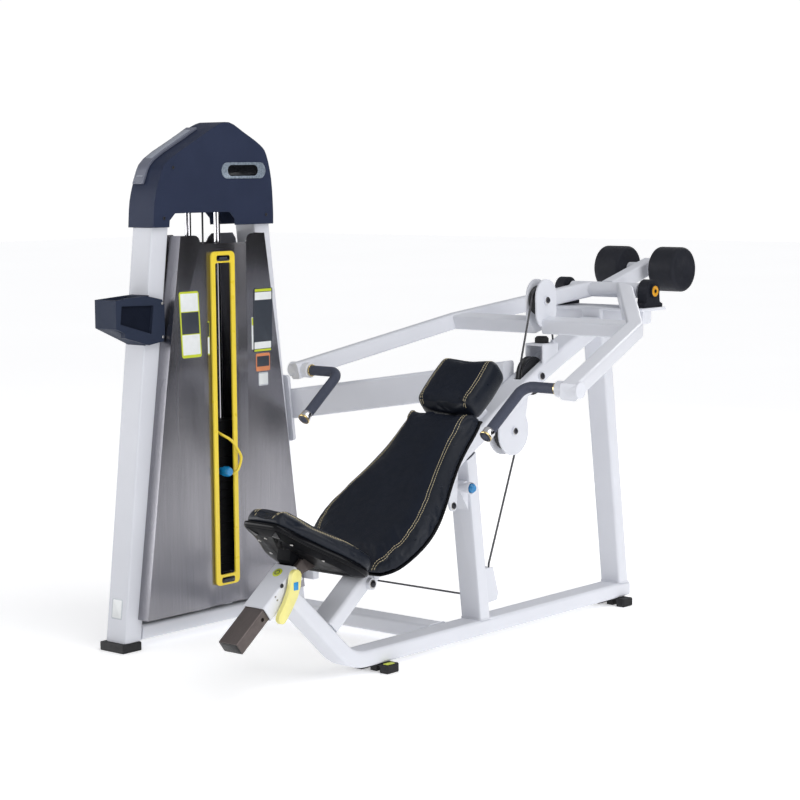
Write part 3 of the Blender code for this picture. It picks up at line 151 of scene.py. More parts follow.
def set_studio():
    """White backdrop for the camera, a softer gradient for the light and the reflections."""
    scene.view_settings.view_transform = "Standard"
    scene.view_settings.look = "None"
    world = bpy.data.worlds.new("studio")
    scene.world = world
    world.use_nodes = True
    nodes, links = world.node_tree.nodes, world.node_tree.links
    nodes.clear()
    coords = nodes.new("ShaderNodeTexCoord")
    parts = nodes.new("ShaderNodeSeparateXYZ")
    ramp = nodes.new("ShaderNodeValToRGB")
    rise = nodes.new("ShaderNodeMapRange")
    rise.inputs["From Min"].default_value = -1.0
    ramp.color_ramp.elements[0].position = 0.0
    ramp.color_ramp.elements[0].color = (0.62, 0.62, 0.63, 1.0)
    for place, value in ((0.44, 0.30), (0.52, 0.34), (0.62, 0.62)):
        stop = ramp.color_ramp.elements.new(place)
        stop.color = (value, value, value * 1.02, 1.0)
    ramp.color_ramp.elements[-1].color = (0.86, 0.87, 0.90, 1.0)
    dim, white = nodes.new("ShaderNodeBackground"), nodes.new("ShaderNodeBackground")
    dim.inputs["Strength"].default_value = 0.56
    white.inputs["Color"].default_value = (1.0, 1.0, 1.0, 1.0)
    white.inputs["Strength"].default_value = 1.02
    seen = nodes.new("ShaderNodeLightPath")
    mix = nodes.new("ShaderNodeMixShader")
    out = nodes.new("ShaderNodeOutputWorld")
    links.new(coords.outputs["Generated"], parts.inputs[0])
    links.new(parts.outputs["Z"], rise.inputs["Value"])
    links.new(rise.outputs["Result"], ramp.inputs["Fac"])
    links.new(ramp.outputs["Color"], dim.inputs["Color"])
    links.new(seen.outputs["Is Camera Ray"], mix.inputs["Fac"])
    links.new(dim.outputs[0], mix.inputs[1])
    links.new(white.outputs[0], mix.inputs[2])
    links.new(mix.outputs[0], out.inputs["Surface"])
    sun = bpy.data.lights.new("key_sun", "SUN")
    sun.energy = 0.90
    sun.angle = radians(48)
    lamp = bpy.data.objects.new("key_sun", sun)
    lamp.rotation_euler = Vector((-0.85, 0.10, -1.0)).to_track_quat("-Z", "Y").to_euler()
    scene.collection.objects.link(lamp)
    area_light("front_softbox", (1.2, -5.0, 2.6), (0.0, 0.2, 0.6), (2.4, 1.6), 22)
    area_light("right_softbox", (4.6, -0.4, 1.6), (0.0, 0.5, 0.6), (1.6, 2.0), 48)
    area_light("rear_softbox", (-0.4, 5.0, 3.0), (0.0, 0.6, 0.6), (3.0, 1.6), 60)
    dark = surface("flag_cloth", "#1d1c1f", 0.95, blotch=(2, 0.1), grain=(200, 0.1))
    flag("dark_flag", ((0.2, 5.0, 0.0), (5.4, 1.4, 0.0), (5.4, 1.4, 4.0), (0.2, 5.0, 4.0)), dark)
    bright = glowing(surface("bounce_card", "#ffffff", 0.95, blotch=(2, 0.01), grain=(200, 0.1)), 4.2)
    flag("bright_card", ((-6.0, -1.2, 0.3), (-2.2, -5.2, 0.3), (-2.2, -5.2, 3.4), (-6.0, -1.2, 3.4)), bright)


def set_floor():
    bm = bmesh.new()
    bmesh.ops.create_grid(bm, x_segments=12, y_segments=12, size=30.0)
    mesh = bpy.data.meshes.new("studio_floor")
    bm.to_mesh(mesh)
    bm.free()
    paper = surface("studio_paper", "#fbfbfb", 0.9, blotch=(0.4, 0.01), grain=(300, 0.02), specular=0.1)
    mesh.materials.append(glowing(paper, 0.37))
    floor = bpy.data.objects.new("studio_floor", mesh)
    scene.collection.objects.link(floor)


# ---- materials ------------------------------------------------------------------------------
def set_inputs(node, values):
    """Sets a node's own sockets by name."""
    for socket, value in values.items():
        node.inputs[socket].default_value = value


def linear(code):
    """Hex colour to the linear values that the shader takes."""
    values = [int(code[i:i + 2], 16) / 255 for i in (1, 3, 5)]
    return tuple(v / 12.92 if v <= 0.04045 else ((v + 0.055) / 1.055) ** 2.4 for v in values)


def surface(name, code, rough, metallic=0.0, blotch=(9.0, 0.05), grain=(700.0, 0.06), stretch=(1.0, 1.0, 1.0),
            spread=0.06, coat=0.0, cells=False, speck=0.0, specular=0.5, aniso=0.0):
    """A finish with colour that drifts slowly, roughness that varies, and a fine bumped grain.

    blotch is (scale, share of the colour), grain is (scale, bump strength), spread is the roughness range.
    """
    made = bpy.data.materials.new(name)
    made.use_nodes = True
    nodes, links = made.node_tree.nodes, made.node_tree.links
    shader = nodes["Principled BSDF"]
    set_inputs(shader, {"Metallic": metallic, "Specular IOR Level": specular, "Coat Weight": coat,
                        "Coat Roughness": 0.12, "Anisotropic": aniso})
    coords = nodes.new("ShaderNodeTexCoord")
    mapping = nodes.new("ShaderNodeMapping")
    mapping.inputs["Scale"].default_value = stretch
    links.new(coords.outputs["Object"], mapping.inputs["Vector"])

    def noise(scale, detail):
        node = nodes.new("ShaderNodeTexNoise")
        set_inputs(node, {"Scale": scale, "Detail": detail})
        links.new(mapping.outputs["Vector"], node.inputs["Vector"])
        return node

    colour = linear(code)
    drift = noise(blotch[0], 4.0)
    tint = nodes.new("ShaderNodeValToRGB")
    tint.color_ramp.elements[0].position = 0.32
    tint.color_ramp.elements[1].position = 0.68
    tint.color_ramp.elements[0].color = (*[c * (1 - blotch[1]) for c in colour], 1.0)
    tint.color_ramp.elements[1].color = (*[min(1.0, c * (1 + blotch[1])) for c in colour], 1.0)
    links.new(drift.outputs["Fac"], tint.inputs["Fac"])
    fine = nodes.new("ShaderNodeTexVoronoi") if cells else noise(grain[0], 3.0)
    if cells:
        fine.inputs["Scale"].default_value = grain[0]
        links.new(mapping.outputs["Vector"], fine.inputs["Vector"])
    height = fine.outputs["Distance"] if cells else fine.outputs["Fac"]
    source = tint.outputs["Color"]
    if speck:
        mix = nodes.new("ShaderNodeMix")
        mix.data_type = "RGBA"
        mix.blend_type = "MULTIPLY"
        shade = nodes.new("ShaderNodeMapRange")
        set_inputs(shade, {"From Min": 0.25, "From Max": 0.75, "To Min": 1.0 - speck, "To Max": 1.0 + speck})
        mix.inputs["Factor"].default_value = 1.0
        links.new(height, shade.inputs["Value"])
        links.new(source, mix.inputs["A"])
        links.new(shade.outputs["Result"], mix.inputs["B"])
        source = mix.outputs["Result"]
    links.new(source, shader.inputs["Base Color"])
    gloss = noise(blotch[0] * 3.1, 3.0)
    level = nodes.new("ShaderNodeMapRange")
    set_inputs(level, {"From Min": 0.3, "From Max": 0.7, "To Min": max(0.02, rough - spread),
                       "To Max": min(1.0, rough + spread)})
    links.new(gloss.outputs["Fac"], level.inputs["Value"])
    links.new(level.outputs["Result"], shader.inputs["Roughness"])
    bump = nodes.new("ShaderNodeBump")
    set_inputs(bump, {"Strength": grain[1], "Distance": 0.0012})
    links.new(height, bump.inputs["Height"])
    links.new(bump.outputs["Normal"], shader.inputs["Normal"])
    return made


def brushed(name, code, rough):
    """Sheet steel with fine upright brush lines and a slow waviness."""
    made = surface(name, code, rough, metallic=1.0, blotch=(2.2, 0.10), grain=(520.0, 0.10),
                   stretch=(1.0, 1.0, 0.012), spread=0.07, speck=0.10, aniso=0.6)
    nodes, links = made.node_tree.nodes, made.node_tree.links
    wave = nodes.new("ShaderNodeTexNoise")
    coords = nodes.new("ShaderNodeTexCoord")
    mapping = nodes.new("ShaderNodeMapping")
    mapping.inputs["Scale"].default_value = (1.0, 1.0, 0.45)
    set_inputs(wave, {"Scale": 5.0, "Detail": 1.0})
    bend = nodes.new("ShaderNodeBump")
    set_inputs(bend, {"Strength": 0.35, "Distance": 0.012})
    fine = next(n for n in nodes if n.bl_idname == "ShaderNodeBump" and n != bend)
    links.new(coords.outputs["Object"], mapping.inputs["Vector"])
    links.new(mapping.outputs["Vector"], wave.inputs["Vector"])
    links.new(wave.outputs["Fac"], bend.inputs["Height"])
    links.new(bend.outputs["Normal"], fine.inputs["Normal"])
    tangent = nodes.new("ShaderNodeTangent")
    tangent.direction_type = "RADIAL"
    tangent.axis = "Z"
    links.new(tangent.outputs["Tangent"], nodes["Principled BSDF"].inputs["Tangent"])
    return made


LOOKS = {
    "frame_white": surface("powder_coat_frame", "#dddfe6", 0.36, blotch=(5, 0.015), grain=(650, 0.10),
                           specular=0.20),
    "arm_white": surface("powder_coat_arm", "#dddfe6", 0.34, blotch=(6, 0.015), grain=(650, 0.10),
                         specular=0.20),
    "hood_charcoal": surface("moulded_charcoal", "#30374c", 0.40, blotch=(7, 0.06), grain=(1500, 0.22),
                             speck=0.05, specular=0.05),
    "rail_grey": surface("moulded_rail", "#6c7080", 0.38, blotch=(10, 0.05), grain=(1400, 0.18)),
    "holder_slate": surface("moulded_slate", "#303748", 0.46, blotch=(10, 0.06), grain=(1500, 0.25),
                            speck=0.05, specular=0.05),
    "slot_yellow": surface("painted_yellow", "#f6da3e", 0.32, blotch=(12, 0.03), grain=(800, 0.08), coat=0.3),
    "lever_yellow": surface("moulded_lemon", "#ece48e", 0.38, blotch=(30, 0.03), grain=(1200, 0.12)),
    "pin_blue": surface("moulded_blue", "#1681bd", 0.22, blotch=(40, 0.08), grain=(900, 0.06), coat=0.4),
    "pulley_black": surface("nylon_black", "#1d1e22", 0.36, blotch=(30, 0.10), grain=(1300, 0.18),
                            speck=0.08),
    "rubber_black": surface("rubber_black_grain", "#1c1c1e", 0.78, blotch=(25, 0.12), grain=(1100, 0.35),
                            speck=0.1),
    "shell_black": surface("gloss_shell", "#0b0c10", 0.24, blotch=(12, 0.10), grain=(240, 0.03),
                           spread=0.05, specular=0.13),
    "pad_vinyl": surface("vinyl_side", "#171c26", 0.33, blotch=(14, 0.10), grain=(820, 0.30), cells=True,
                         speck=0.10, spread=0.07, specular=0.24),
    "grip_slate": surface("grip_foam", "#3c4152", 0.68, blotch=(30, 0.06), grain=(1500, 0.45), speck=0.10),
    "weight_black": surface("weight_vinyl", "#1f2129", 0.62, blotch=(22, 0.10), grain=(1400, 0.40),
                            speck=0.12, specular=0.22),
    "plate_iron": surface("stack_iron", "#1a1a1d", 0.48, metallic=0.5, blotch=(30, 0.15), grain=(600, 0.35),
                          speck=0.15),
    "shroud_steel": brushed("brushed_shroud", "#96959a", 0.22),
    "rod_chrome": surface("chrome_rod", "#c9c8cc", 0.10, metallic=1.0, blotch=(18, 0.04), grain=(900, 0.02),
                          spread=0.04),
    "post_steel": surface("bronze_post", "#5e5654", 0.36, metallic=0.6, blotch=(14, 0.14), grain=(420, 0.10),
                          stretch=(1.0, 0.15, 0.15), speck=0.12),
    "cable_grey": surface("coated_cable", "#4a4a4e", 0.42, metallic=0.2, blotch=(60, 0.12),
                           grain=(1200, 0.30)),
}
FACE_VINYL = surface("vinyl_face", "#181d28", 0.52, blotch=(18, 0.08), grain=(950, 0.42), cells=True,
                     speck=0.14, specular=0.10)
THREAD = surface("thread_gold", "#d9cba4", 0.62, blotch=(200, 0.12), grain=(2400, 0.5))
CHROME = surface("bright_trim", "#d5d4d6", 0.12, metallic=1.0, blotch=(40, 0.05), grain=(900, 0.03),
                 spread=0.04)
GOLD = surface("anodised_gold", "#d6c08a", 0.22, metallic=0.9, blotch=(40, 0.06), grain=(900, 0.05))
ORANGE = surface("bearing_cap_orange", "#d99a1e", 0.34, blotch=(60, 0.08), grain=(900, 0.10))
BOLT = surface("dark_bolt", "#34343a", 0.34, metallic=0.7, blotch=(90, 0.12), grain=(900, 0.15))
ZINC = surface("zinc_screw", "#b4b2b0", 0.28, metallic=1.0, blotch=(90, 0.10), grain=(900, 0.12))
END_DISC = surface("end_disc", "#5d5e64", 0.30, metallic=0.8, blotch=(90, 0.10), grain=(900, 0.10))
PLUG = surface("plug_black", "#19191b", 0.42, blotch=(50, 0.10), grain=(1200, 0.22))
# Darker copy of the holder's slate plastic: painted shade for the floor of the holder's recess.
RECESS_PAINTED_SHADE = surface("recess_painted_shade", "#161b28", 0.60, blotch=(20, 0.08), grain=(1300, 0.20), specular=0.05)
UNDERSIDE = surface("shell_underside", "#0b0c10", 0.42, blotch=(12, 0.10), grain=(500, 0.12), specular=0.04)
LIME = surface("label_lime", "#c7d32f", 0.42, blotch=(60, 0.04), grain=(1200, 0.04))
PAPER = surface("label_white", "#e9ecec", 0.45, blotch=(60, 0.03), grain=(1200, 0.04))
SLATE = surface("label_slate", "#353b45", 0.42, blotch=(60, 0.05), grain=(1200, 0.04))
TAG_ORANGE = surface("label_orange", "#dd8a5b", 0.44, blotch=(60, 0.04), grain=(1200, 0.04))
TAG_GREY = surface("label_grey", "#c3c7cd", 0.46, blotch=(60, 0.04), grain=(1200, 0.04))
BADGE_RIM = surface("badge_rim", "#9aa7b5", 0.28, metallic=0.4, blotch=(40, 0.05), grain=(1200, 0.05),
                    coat=0.4)
BADGE_FACE = surface("badge_face", "#0d0f13", 0.20, blotch=(40, 0.08), grain=(1200, 0.04), coat=0.6)
# Lighter copy of the rail's grey: painted highlight for the top of the hood's rail.
RAIL_PAINTED_HIGHLIGHT = surface("rail_painted_highlight", "#9aa0ac", 0.34, blotch=(14, 0.05), grain=(1300, 0.14))
SKY_BLUE = surface("lever_blue", "#1c8dcc", 0.34, blotch=(90, 0.05), grain=(1200, 0.06))


# ---- building helpers -----------------------------------------------------------------------
def piece(name, bm, looks, body, smooth=36):
    """Turns a bmesh into an object that rides on a CAD body."""
    mesh = bpy.data.meshes.new(name)
    bmesh.ops.recalc_face_normals(bm, faces=bm.faces)
    bm.to_mesh(mesh)
    bm.free()
    for look in looks if isinstance(looks, (list, tuple)) else [looks]:
        mesh.materials.append(look)
    mesh.shade_smooth()
    mesh.set_sharp_from_angle(angle=radians(smooth))
    obj = bpy.data.objects.new(name, mesh)
    scene.collection.objects.link(obj)
    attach(obj, body)
    return obj


def lathe(bm, profile, centre, axis, sides=32, look=0):
    """Adds a solid of revolution.

    profile is (along, radius) pairs: from the axis back to the axis, or a closed loop clear of it.
    """
    turn = Vector((0, 0, 1)).rotation_difference(Vector(axis)).to_matrix()
    centre = Vector(centre)
    rings = []
    for along, radius in profile:
        count = 1 if radius <= 0 else sides
        rings.append([bm.verts.new(centre + turn @ Vector((radius * cos(2 * pi * i / sides),
                                                           radius * sin(2 * pi * i / sides), along)))
                      for i in range(count)])
    pairs = list(zip(rings, rings[1:]))
    if profile[0][1] > 0:
        pairs.append((rings[-1], rings[0]))
    for lower, upper in pairs:
        for i in range(sides):
            j = (i + 1) % sides
            if len(lower) == 1:
                face = (lower[0], upper[i], upper[j])
            elif len(upper) == 1:
                face = (lower[j], lower[i], upper[0])
            else:
                face = (lower[i], lower[j], upper[j], upper[i])
            bm.faces.new(face).material_index = look


def rounded_rect(width, height, radius, steps=4):
    points = []
    for corner, (sx, sy) in enumerate(((1, 1), (-1, 1), (-1, -1), (1, -1))):
        for step in range(steps + 1):
            turn = corner * pi / 2 + step * pi / 2 / steps
            points.append((sx * (width / 2 - radius) + radius * cos(turn),
                           sy * (height / 2 - radius) + radius * sin(turn)))
    return points


def plate(bm, outline, place, low, high, look=0, ease=0.0):
    """Adds a flat plate; place(a, b, depth) gives the point, and ease rounds its outer rim."""
    centre_a = sum(p[0] for p in outline) / len(outline)
    centre_b = sum(p[1] for p in outline) / len(outline)

    def ring(depth, inset):
        ring_points = []
        for a, b in outline:
            reach = max(0.001, ((a - centre_a) ** 2 + (b - centre_b) ** 2) ** 0.5)
            share = 1 - inset / reach
            ring_points.append(bm.verts.new(place(centre_a + (a - centre_a) * share,
                                                  centre_b + (b - centre_b) * share, depth)))
        return ring_points

    rings = [ring(low, 0.0)]
    if ease:
        rings += [ring(high - ease, 0.0), ring(high - ease * 0.3, ease * 0.3)]
    rings.append(ring(high, ease))
    for lower, upper in zip(rings, rings[1:]):
        for i in range(len(lower)):
            j = (i + 1) % len(lower)
            bm.faces.new((lower[i], lower[j], upper[j], upper[i])).material_index = look
    bm.faces.new(rings[-1]).material_index = look
    bm.faces.new(reversed(rings[0])).material_index = look


def sweep(bm, route, radius, sides=8, look=0, closed=False):
    """Adds a round bead along a route."""
    route = [Vector(p) for p in route]
    count = len(route)
    side = None
    rings = []
    for i, point in enumerate(route):
        before = route[i - 1] if i or closed else route[0]
        after = route[(i + 1) % count] if i < count - 1 or closed else route[-1]
        heading = (after - before).normalized()
        if side is None:
            side = heading.orthogonal().normalized()
        side = (side - heading * side.dot(heading)).normalized()
        up = heading.cross(side)
        turns = [2 * pi * k / sides for k in range(sides)]
        rings.append([bm.verts.new(point + side * radius * cos(turn) + up * radius * sin(turn))
                      for turn in turns])
    pairs = list(zip(rings, rings[1:]))
    if closed:
        pairs.append((rings[-1], rings[0]))
    else:
        bm.faces.new(reversed(rings[0])).material_index = look
        bm.faces.new(rings[-1]).material_index = look
    for lower, upper in pairs:
        for k in range(sides):
            m = (k + 1) % sides
            bm.faces.new((lower[k], lower[m], upper[m], upper[k])).material_index = look


def cap_screw(bm, place, axis, radius, look=0, dark=1):
    """Adds a button-head screw with a six-sided socket."""
    lathe(bm, [(0.0, 0.0), (0.0, radius), (radius * 0.25, radius), (radius * 0.48, radius * 0.82),
               (radius * 0.58, radius * 0.50), (radius * 0.58, 0.0)], place, axis, 20, look)
    lathe(bm, [(radius * 0.3, 0.0), (radius * 0.3, radius * 0.40), (radius * 0.62, radius * 0.40),
               (radius * 0.62, 0.0)], place, axis, 6, dark)


def upright_place(x):
    """Maps (Y, Z, depth) onto a face that looks at +X."""
    return lambda a, b, depth: Vector((x + depth, a, b))


# ---- CAD nodes that stay --------------------------------------------------------------------
ROUND_NODES = ("cable_arm", "cable_lower", "cable_stack", "pin_lanyard")
PLAIN_NODES = ("accessory_holder", "base_foot_front", "base_foot_rear", "base_tube", "cross_tube",
               "hood_rail", "seat_lever", "slot_frame", "tower_foot_front", "tower_foot_rear", "tower_hood",
               "tower_upright_front")


def dress_nodes():
    """Gives each kept CAD node its finish and welded smooth shading, and the plain ones a small edge radius.
    """
    slots = {}
    for name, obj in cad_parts.items():
        mesh = obj.data
        look = mesh.materials[0].name.split(".")[0] if mesh.materials else "frame_white"
        slots[name] = look
        mesh.materials.clear()
        mesh.materials.append(LOOKS.get(look, LOOKS["frame_white"]))
        if "custom_normal" in mesh.attributes:
            mesh.attributes.remove(mesh.attributes["custom_normal"])
        mesh.shade_smooth()
        weld = obj.modifiers.new("weld", "WELD")
        weld.merge_threshold = 0.00002
        if name in ROUND_NODES:
            continue
        if name in PLAIN_NODES:
            flat = obj.modifiers.new("merge_flat_faces", "DECIMATE")
            flat.decimate_type = "DISSOLVE"
            flat.angle_limit = radians(0.4)
            edge = obj.modifiers.new("edge_radius", "BEVEL")
            edge.width = 0.0012
            edge.segments = 2
            edge.limit_method = "ANGLE"
            edge.angle_limit = CREASE_ANGLE
        else:
            split = obj.modifiers.new("crease", "EDGE_SPLIT")
            split.split_angle = CREASE_ANGLE
        weighted = obj.modifiers.new("flat_faces", "WEIGHTED_NORMAL")
        weighted.mode = "FACE_AREA_WITH_ANGLE"
        weighted.weight = 60
        weighted.keep_sharp = True


# ---- pads -----------------------------------------------------------------------------------
def curve_point(a, b, c, d, t):
    """Catmull-Rom point between b and c."""
    return 0.5 * ((2 * b) + (c - a) * t + (2 * a - 5 * b + 4 * c - d) * t ** 2
                  + (3 * b - a - 3 * c + d) * t ** 3)


def smooth_loop(outline, per_span=4):
    """Closed Catmull-Rom curve through an outline."""
    points = []
    count = len(outline)
    for i in range(count):
        a, b, c, d = (Vector(outline[(i + k - 1) % count]) for k in range(4))
        points += [tuple(curve_point(a, b, c, d, step / per_span)) for step in range(per_span)]
    return points


def inset_loop(outline, inset):
    moved = []
    count = len(outline)
    for i, point in enumerate(outline):
        a, b, c = Vector(outline[i - 1]), Vector(point), Vector(outline[(i + 1) % count])
        normal = Vector((-(c - a).y, (c - a).x)).normalized()
        moved.append(tuple(b + normal * inset))
    return moved


def mirrored(half):
    return list(half) + [(-x, s) for x, s in reversed(half)]


BACK_HALF = ((0.092, -0.056), (0.134, -0.048), (0.170, -0.022), (0.196, 0.025), (0.212, 0.085),
             (0.210, 0.150), (0.192, 0.225), (0.167, 0.305), (0.149, 0.375),
             (0.141, 0.435), (0.136, 0.500), (0.128, 0.535), (0.108, 0.549))
HEAD_HALF = ((0.076, 0.553), (0.096, 0.557), (0.108, 0.573), (0.113, 0.640), (0.110, 0.712), (0.099, 0.735),
             (0.074, 0.743))
SEAT_HALF = ((0.046, 0.009), (0.066, 0.019), (0.080, 0.048), (0.096, 0.100), (0.128, 0.165), (0.156, 0.215),
             (0.170, 0.265), (0.166, 0.305), (0.140, 0.328), (0.095, 0.336))
BACK_SEAM = ((0.098, -0.052), (0.134, -0.012), (0.158, 0.040), (0.169, 0.100), (0.164, 0.160), (0.146, 0.230),
             (0.124, 0.305), (0.108, 0.375), (0.101, 0.435), (0.099, 0.500), (0.097, 0.547))
HEAD_SEAM = ((0.081, 0.556), (0.085, 0.600), (0.086, 0.650), (0.083, 0.700), (0.078, 0.741))
SEAT_SEAM = ((0.036, 0.011), (0.050, 0.044), (0.063, 0.085), (0.086, 0.140), (0.113, 0.190), (0.131, 0.232),
             (0.135, 0.266), (0.126, 0.298), (0.108, 0.333))


def stacked(outline, place, layers):
    """Closed body from one outline, drawn in by an inset at each lift."""
    bm = bmesh.new()
    rings = [[bm.verts.new(place(x, s, lift)) for x, s in inset_loop(outline, inset)]
             for inset, lift in layers]
    for lower, upper in zip(rings, rings[1:]):
        for i in range(len(lower)):
            j = (i + 1) % len(lower)
            bm.faces.new((lower[i], lower[j], upper[j], upper[i]))
    bm.faces.new(reversed(rings[0]))
    bm.faces.new(rings[-1])
    return bm


def plane_of(place):
    """Origin and unit vectors (across, along, lift) of a pad's plane."""
    origin = place(0, 0, 0)
    return origin, [(place(*unit) - origin) for unit in ((1, 0, 0), (0, 1, 0), (0, 0, 1))]


def evaluated_copy(obj):
    graph = bpy.context.evaluated_depsgraph_get()
    return bpy.data.meshes.new_from_object(obj.evaluated_get(graph))


def local_points(mesh, place):
    origin, axes = plane_of(place)
    points = np.array([v.co for v in mesh.vertices], float) - np.array(origin)
    return points @ np.array([list(axis) for axis in axes]).T


def swell(obj, place, base_lift, cap, pressure):
    """Blows the remeshed pad up as cloth, holding its underside, and keeps each point within the cap."""
    rest = np.array([v.co for v in obj.data.vertices], float)
    held = obj.vertex_groups.new(name="held")
    low = [int(i) for i in np.nonzero(local_points(obj.data, place)[:, 2] < base_lift + 0.004)[0]]
    held.add(low, 1.0, "REPLACE")
    cloth = obj.modifiers.new("swell", "CLOTH")
    cloth.settings.quality = 5
    cloth.settings.mass = 0.25
    cloth.settings.tension_stiffness = 18
    cloth.settings.compression_stiffness = 18
    cloth.settings.shear_stiffness = 8
    cloth.settings.bending_stiffness = 0.8
    cloth.settings.use_pressure = True
    cloth.settings.uniform_pressure_force = pressure
    cloth.settings.vertex_group_mass = "held"
    cloth.settings.effector_weights.gravity = 0.0
    cloth.point_cache.frame_start = 1
    cloth.point_cache.frame_end = SWELL_FRAMES
    for step in range(1, SWELL_FRAMES + 1):
        scene.frame_set(step)
    moved = evaluated_copy(obj)
    final = np.array([v.co for v in moved.vertices], float)
    obj.modifiers.remove(cloth)
    bpy.data.meshes.remove(moved)
    scene.frame_set(1)
    shift = final - rest
    length = np.maximum(np.linalg.norm(shift, axis=1), 1e-9)
    shift *= (cap * np.tanh(length / cap) / length)[:, None]
    obj.data.vertices.foreach_set("co", (rest + shift).astype(np.float32).ravel())
    obj.data.update()


def distance_to_seam(points, seam):
    """Distance of (across, along) points from a seam line, mirrored about the pad's middle."""
    x, s = np.abs(points[:, 0]), points[:, 1]
    best = np.full(len(points), 9.0)
    for (ax, ay), (bx, by) in zip(seam, seam[1:]):
        dx, dy = bx - ax, by - ay
        t = np.clip(((x - ax) * dx + (s - ay) * dy) / (dx * dx + dy * dy), 0, 1)
        best = np.minimum(best, np.hypot(x - ax - t * dx, s - ay - t * dy))
    return best


def sew(obj, place, seam, top, depth):
    """Draws the cover in along the seam and puts the side vinyl outside it."""
    points = local_points(obj.data, place)
    normals = np.array([v.normal for v in obj.data.vertices], float)
    lift_axis = np.array(plane_of(place)[1][2])
    facing = np.clip(normals @ lift_axis, 0, 1)
    pull = depth * np.exp(-(distance_to_seam(points, seam) / 0.0042) ** 2) * (points[:, 2] > top - 0.030)
    moved = np.array([v.co for v in obj.data.vertices], float) - lift_axis * (pull * facing)[:, None]
    obj.data.vertices.foreach_set("co", moved.astype(np.float32).ravel())
    along = np.array([p[1] for p in seam])
    across = np.array([p[0] for p in seam])
    for face in obj.data.polygons:
        x, s, lift = points[face.vertices[0]]
        inside = abs(x) < np.interp(s, along, across) and lift > top - 0.016 and along[0] < s < along[-1]
        face.material_index = 0 if inside else 1


def even_points(line, gap, start=0.0):
    """Points every gap along a polyline."""
    line = [Vector(p) for p in line]
    spots, left = [], start
    for a, b in zip(line, line[1:]):
        length = (b - a).length
        while left < length:
            spots.append(a.lerp(b, left / length))
            left += gap
        left -= length
    return spots


def smooth_line(points, per_span=5):
    points = [Vector(p) for p in points]
    ends = [points[0] * 2 - points[1], *points, points[-1] * 2 - points[-2]]
    line = []
    for a, b, c, d in zip(ends, ends[1:], ends[2:], ends[3:]):
        line += [curve_point(a, b, c, d, step / per_span) for step in range(per_span)]
    return line + [points[-1]]


STRAND = ((0.0, -0.0006), (0.2, 0.0002), (0.5, 0.0006), (0.8, 0.0002), (1.0, -0.0006))


def stitching(name, pad, place, seam, body):
    """Two rows of thread beside each seam, each stitch its own short bowed strand."""
    mesh = evaluated_copy(pad)
    tree = BVHTree.FromPolygons([v.co for v in mesh.vertices], [p.vertices[:] for p in mesh.polygons])
    bpy.data.meshes.remove(mesh)
    origin, axes = plane_of(place)
    lift = axes[2]
    bm = bmesh.new()
    line = smooth_line(seam)
    for side in (1, -1):
        for offset in (-STITCH_OFFSET, STITCH_OFFSET):
            row = []
            for i, point in enumerate(line):
                ahead = (line[min(i + 1, len(line) - 1)] - line[max(i - 1, 0)]).normalized()
                row.append(point + Vector((-ahead.y, ahead.x)) * offset)
            ends = even_points(row, STITCH_PITCH, STITCH_LENGTH)
            for spot, after in zip(even_points(row, STITCH_PITCH), ends):
                strand = []
                for share, rise in STRAND:
                    x, s = spot.lerp(after, share)
                    hit = tree.ray_cast(place(side * x, s, 0.2), -lift)[0]
                    if hit is None:
                        break
                    strand.append(hit + lift * rise)
                if len(strand) == len(STRAND):
                    sweep(bm, strand, 0.00075, 5)
    return piece(name, bm, THREAD, body)


def make_pad(name, node, half, seam, place, layers, body, cap, pressure, voxel, depth=0.0022):
    """A stuffed cover: remeshed, swollen as cloth, then sewn."""
    outline = smooth_loop(mirrored(half))
    bm = stacked(outline, place, layers)
    bmesh.ops.recalc_face_normals(bm, faces=bm.faces)
    mesh = bpy.data.meshes.new(name)
    bm.to_mesh(mesh)
    bm.free()
    pad = bpy.data.objects.new(name, mesh)
    scene.collection.objects.link(pad)
    remesh = pad.modifiers.new("voxels", "REMESH")
    remesh.mode = "VOXEL"
    remesh.voxel_size = voxel
    soften = pad.modifiers.new("soften", "SMOOTH")
    soften.factor = 0.5
    soften.iterations = 3
    bpy.context.view_layer.update()
    pad.data = evaluated_copy(pad)
    pad.modifiers.clear()
    swell(pad, place, layers[0][1], cap, pressure)
    for look in (FACE_VINYL, LOOKS["pad_vinyl"]):
        pad.data.materials.append(look)
    sew(pad, place, seam, layers[-1][1], depth)
    pad.data.shade_smooth()
    finer = pad.modifiers.new("finer", "SUBSURF")
    finer.levels = finer.render_levels = 1
    bpy.context.view_layer.update()
    stitching(name + "_stitching", pad, place, seam, body)
    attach(pad, body)
    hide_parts(node)


def make_pads():
    make_pad("back_cushion", "back_pad", BACK_HALF, BACK_SEAM, on_back,
             [(0.004, -0.0455), (0.002, -0.036), (0.006, -0.022), (0.016, -0.010), (0.032, -0.003),
              (0.050, -0.001)],
             "frame", 0.010, 4.0, 0.006)
    make_pad("head_cushion", "head_pad", HEAD_HALF, HEAD_SEAM, on_back,
             [(0.008, -0.0590), (0.003, -0.046), (0.002, -0.010), (0.006, 0.010), (0.016, 0.019),
              (0.034, 0.022)],
             "frame", 0.008, 4.0, 0.005)
    make_pad("seat_cushion", "seat_pad", SEAT_HALF, SEAT_SEAM, on_seat,
             [(0.006, 0.0006), (0.003, 0.010), (0.004, 0.026), (0.009, 0.038), (0.020, 0.045),
              (0.036, 0.048)],
             "seat", 0.009, 4.0, 0.005)


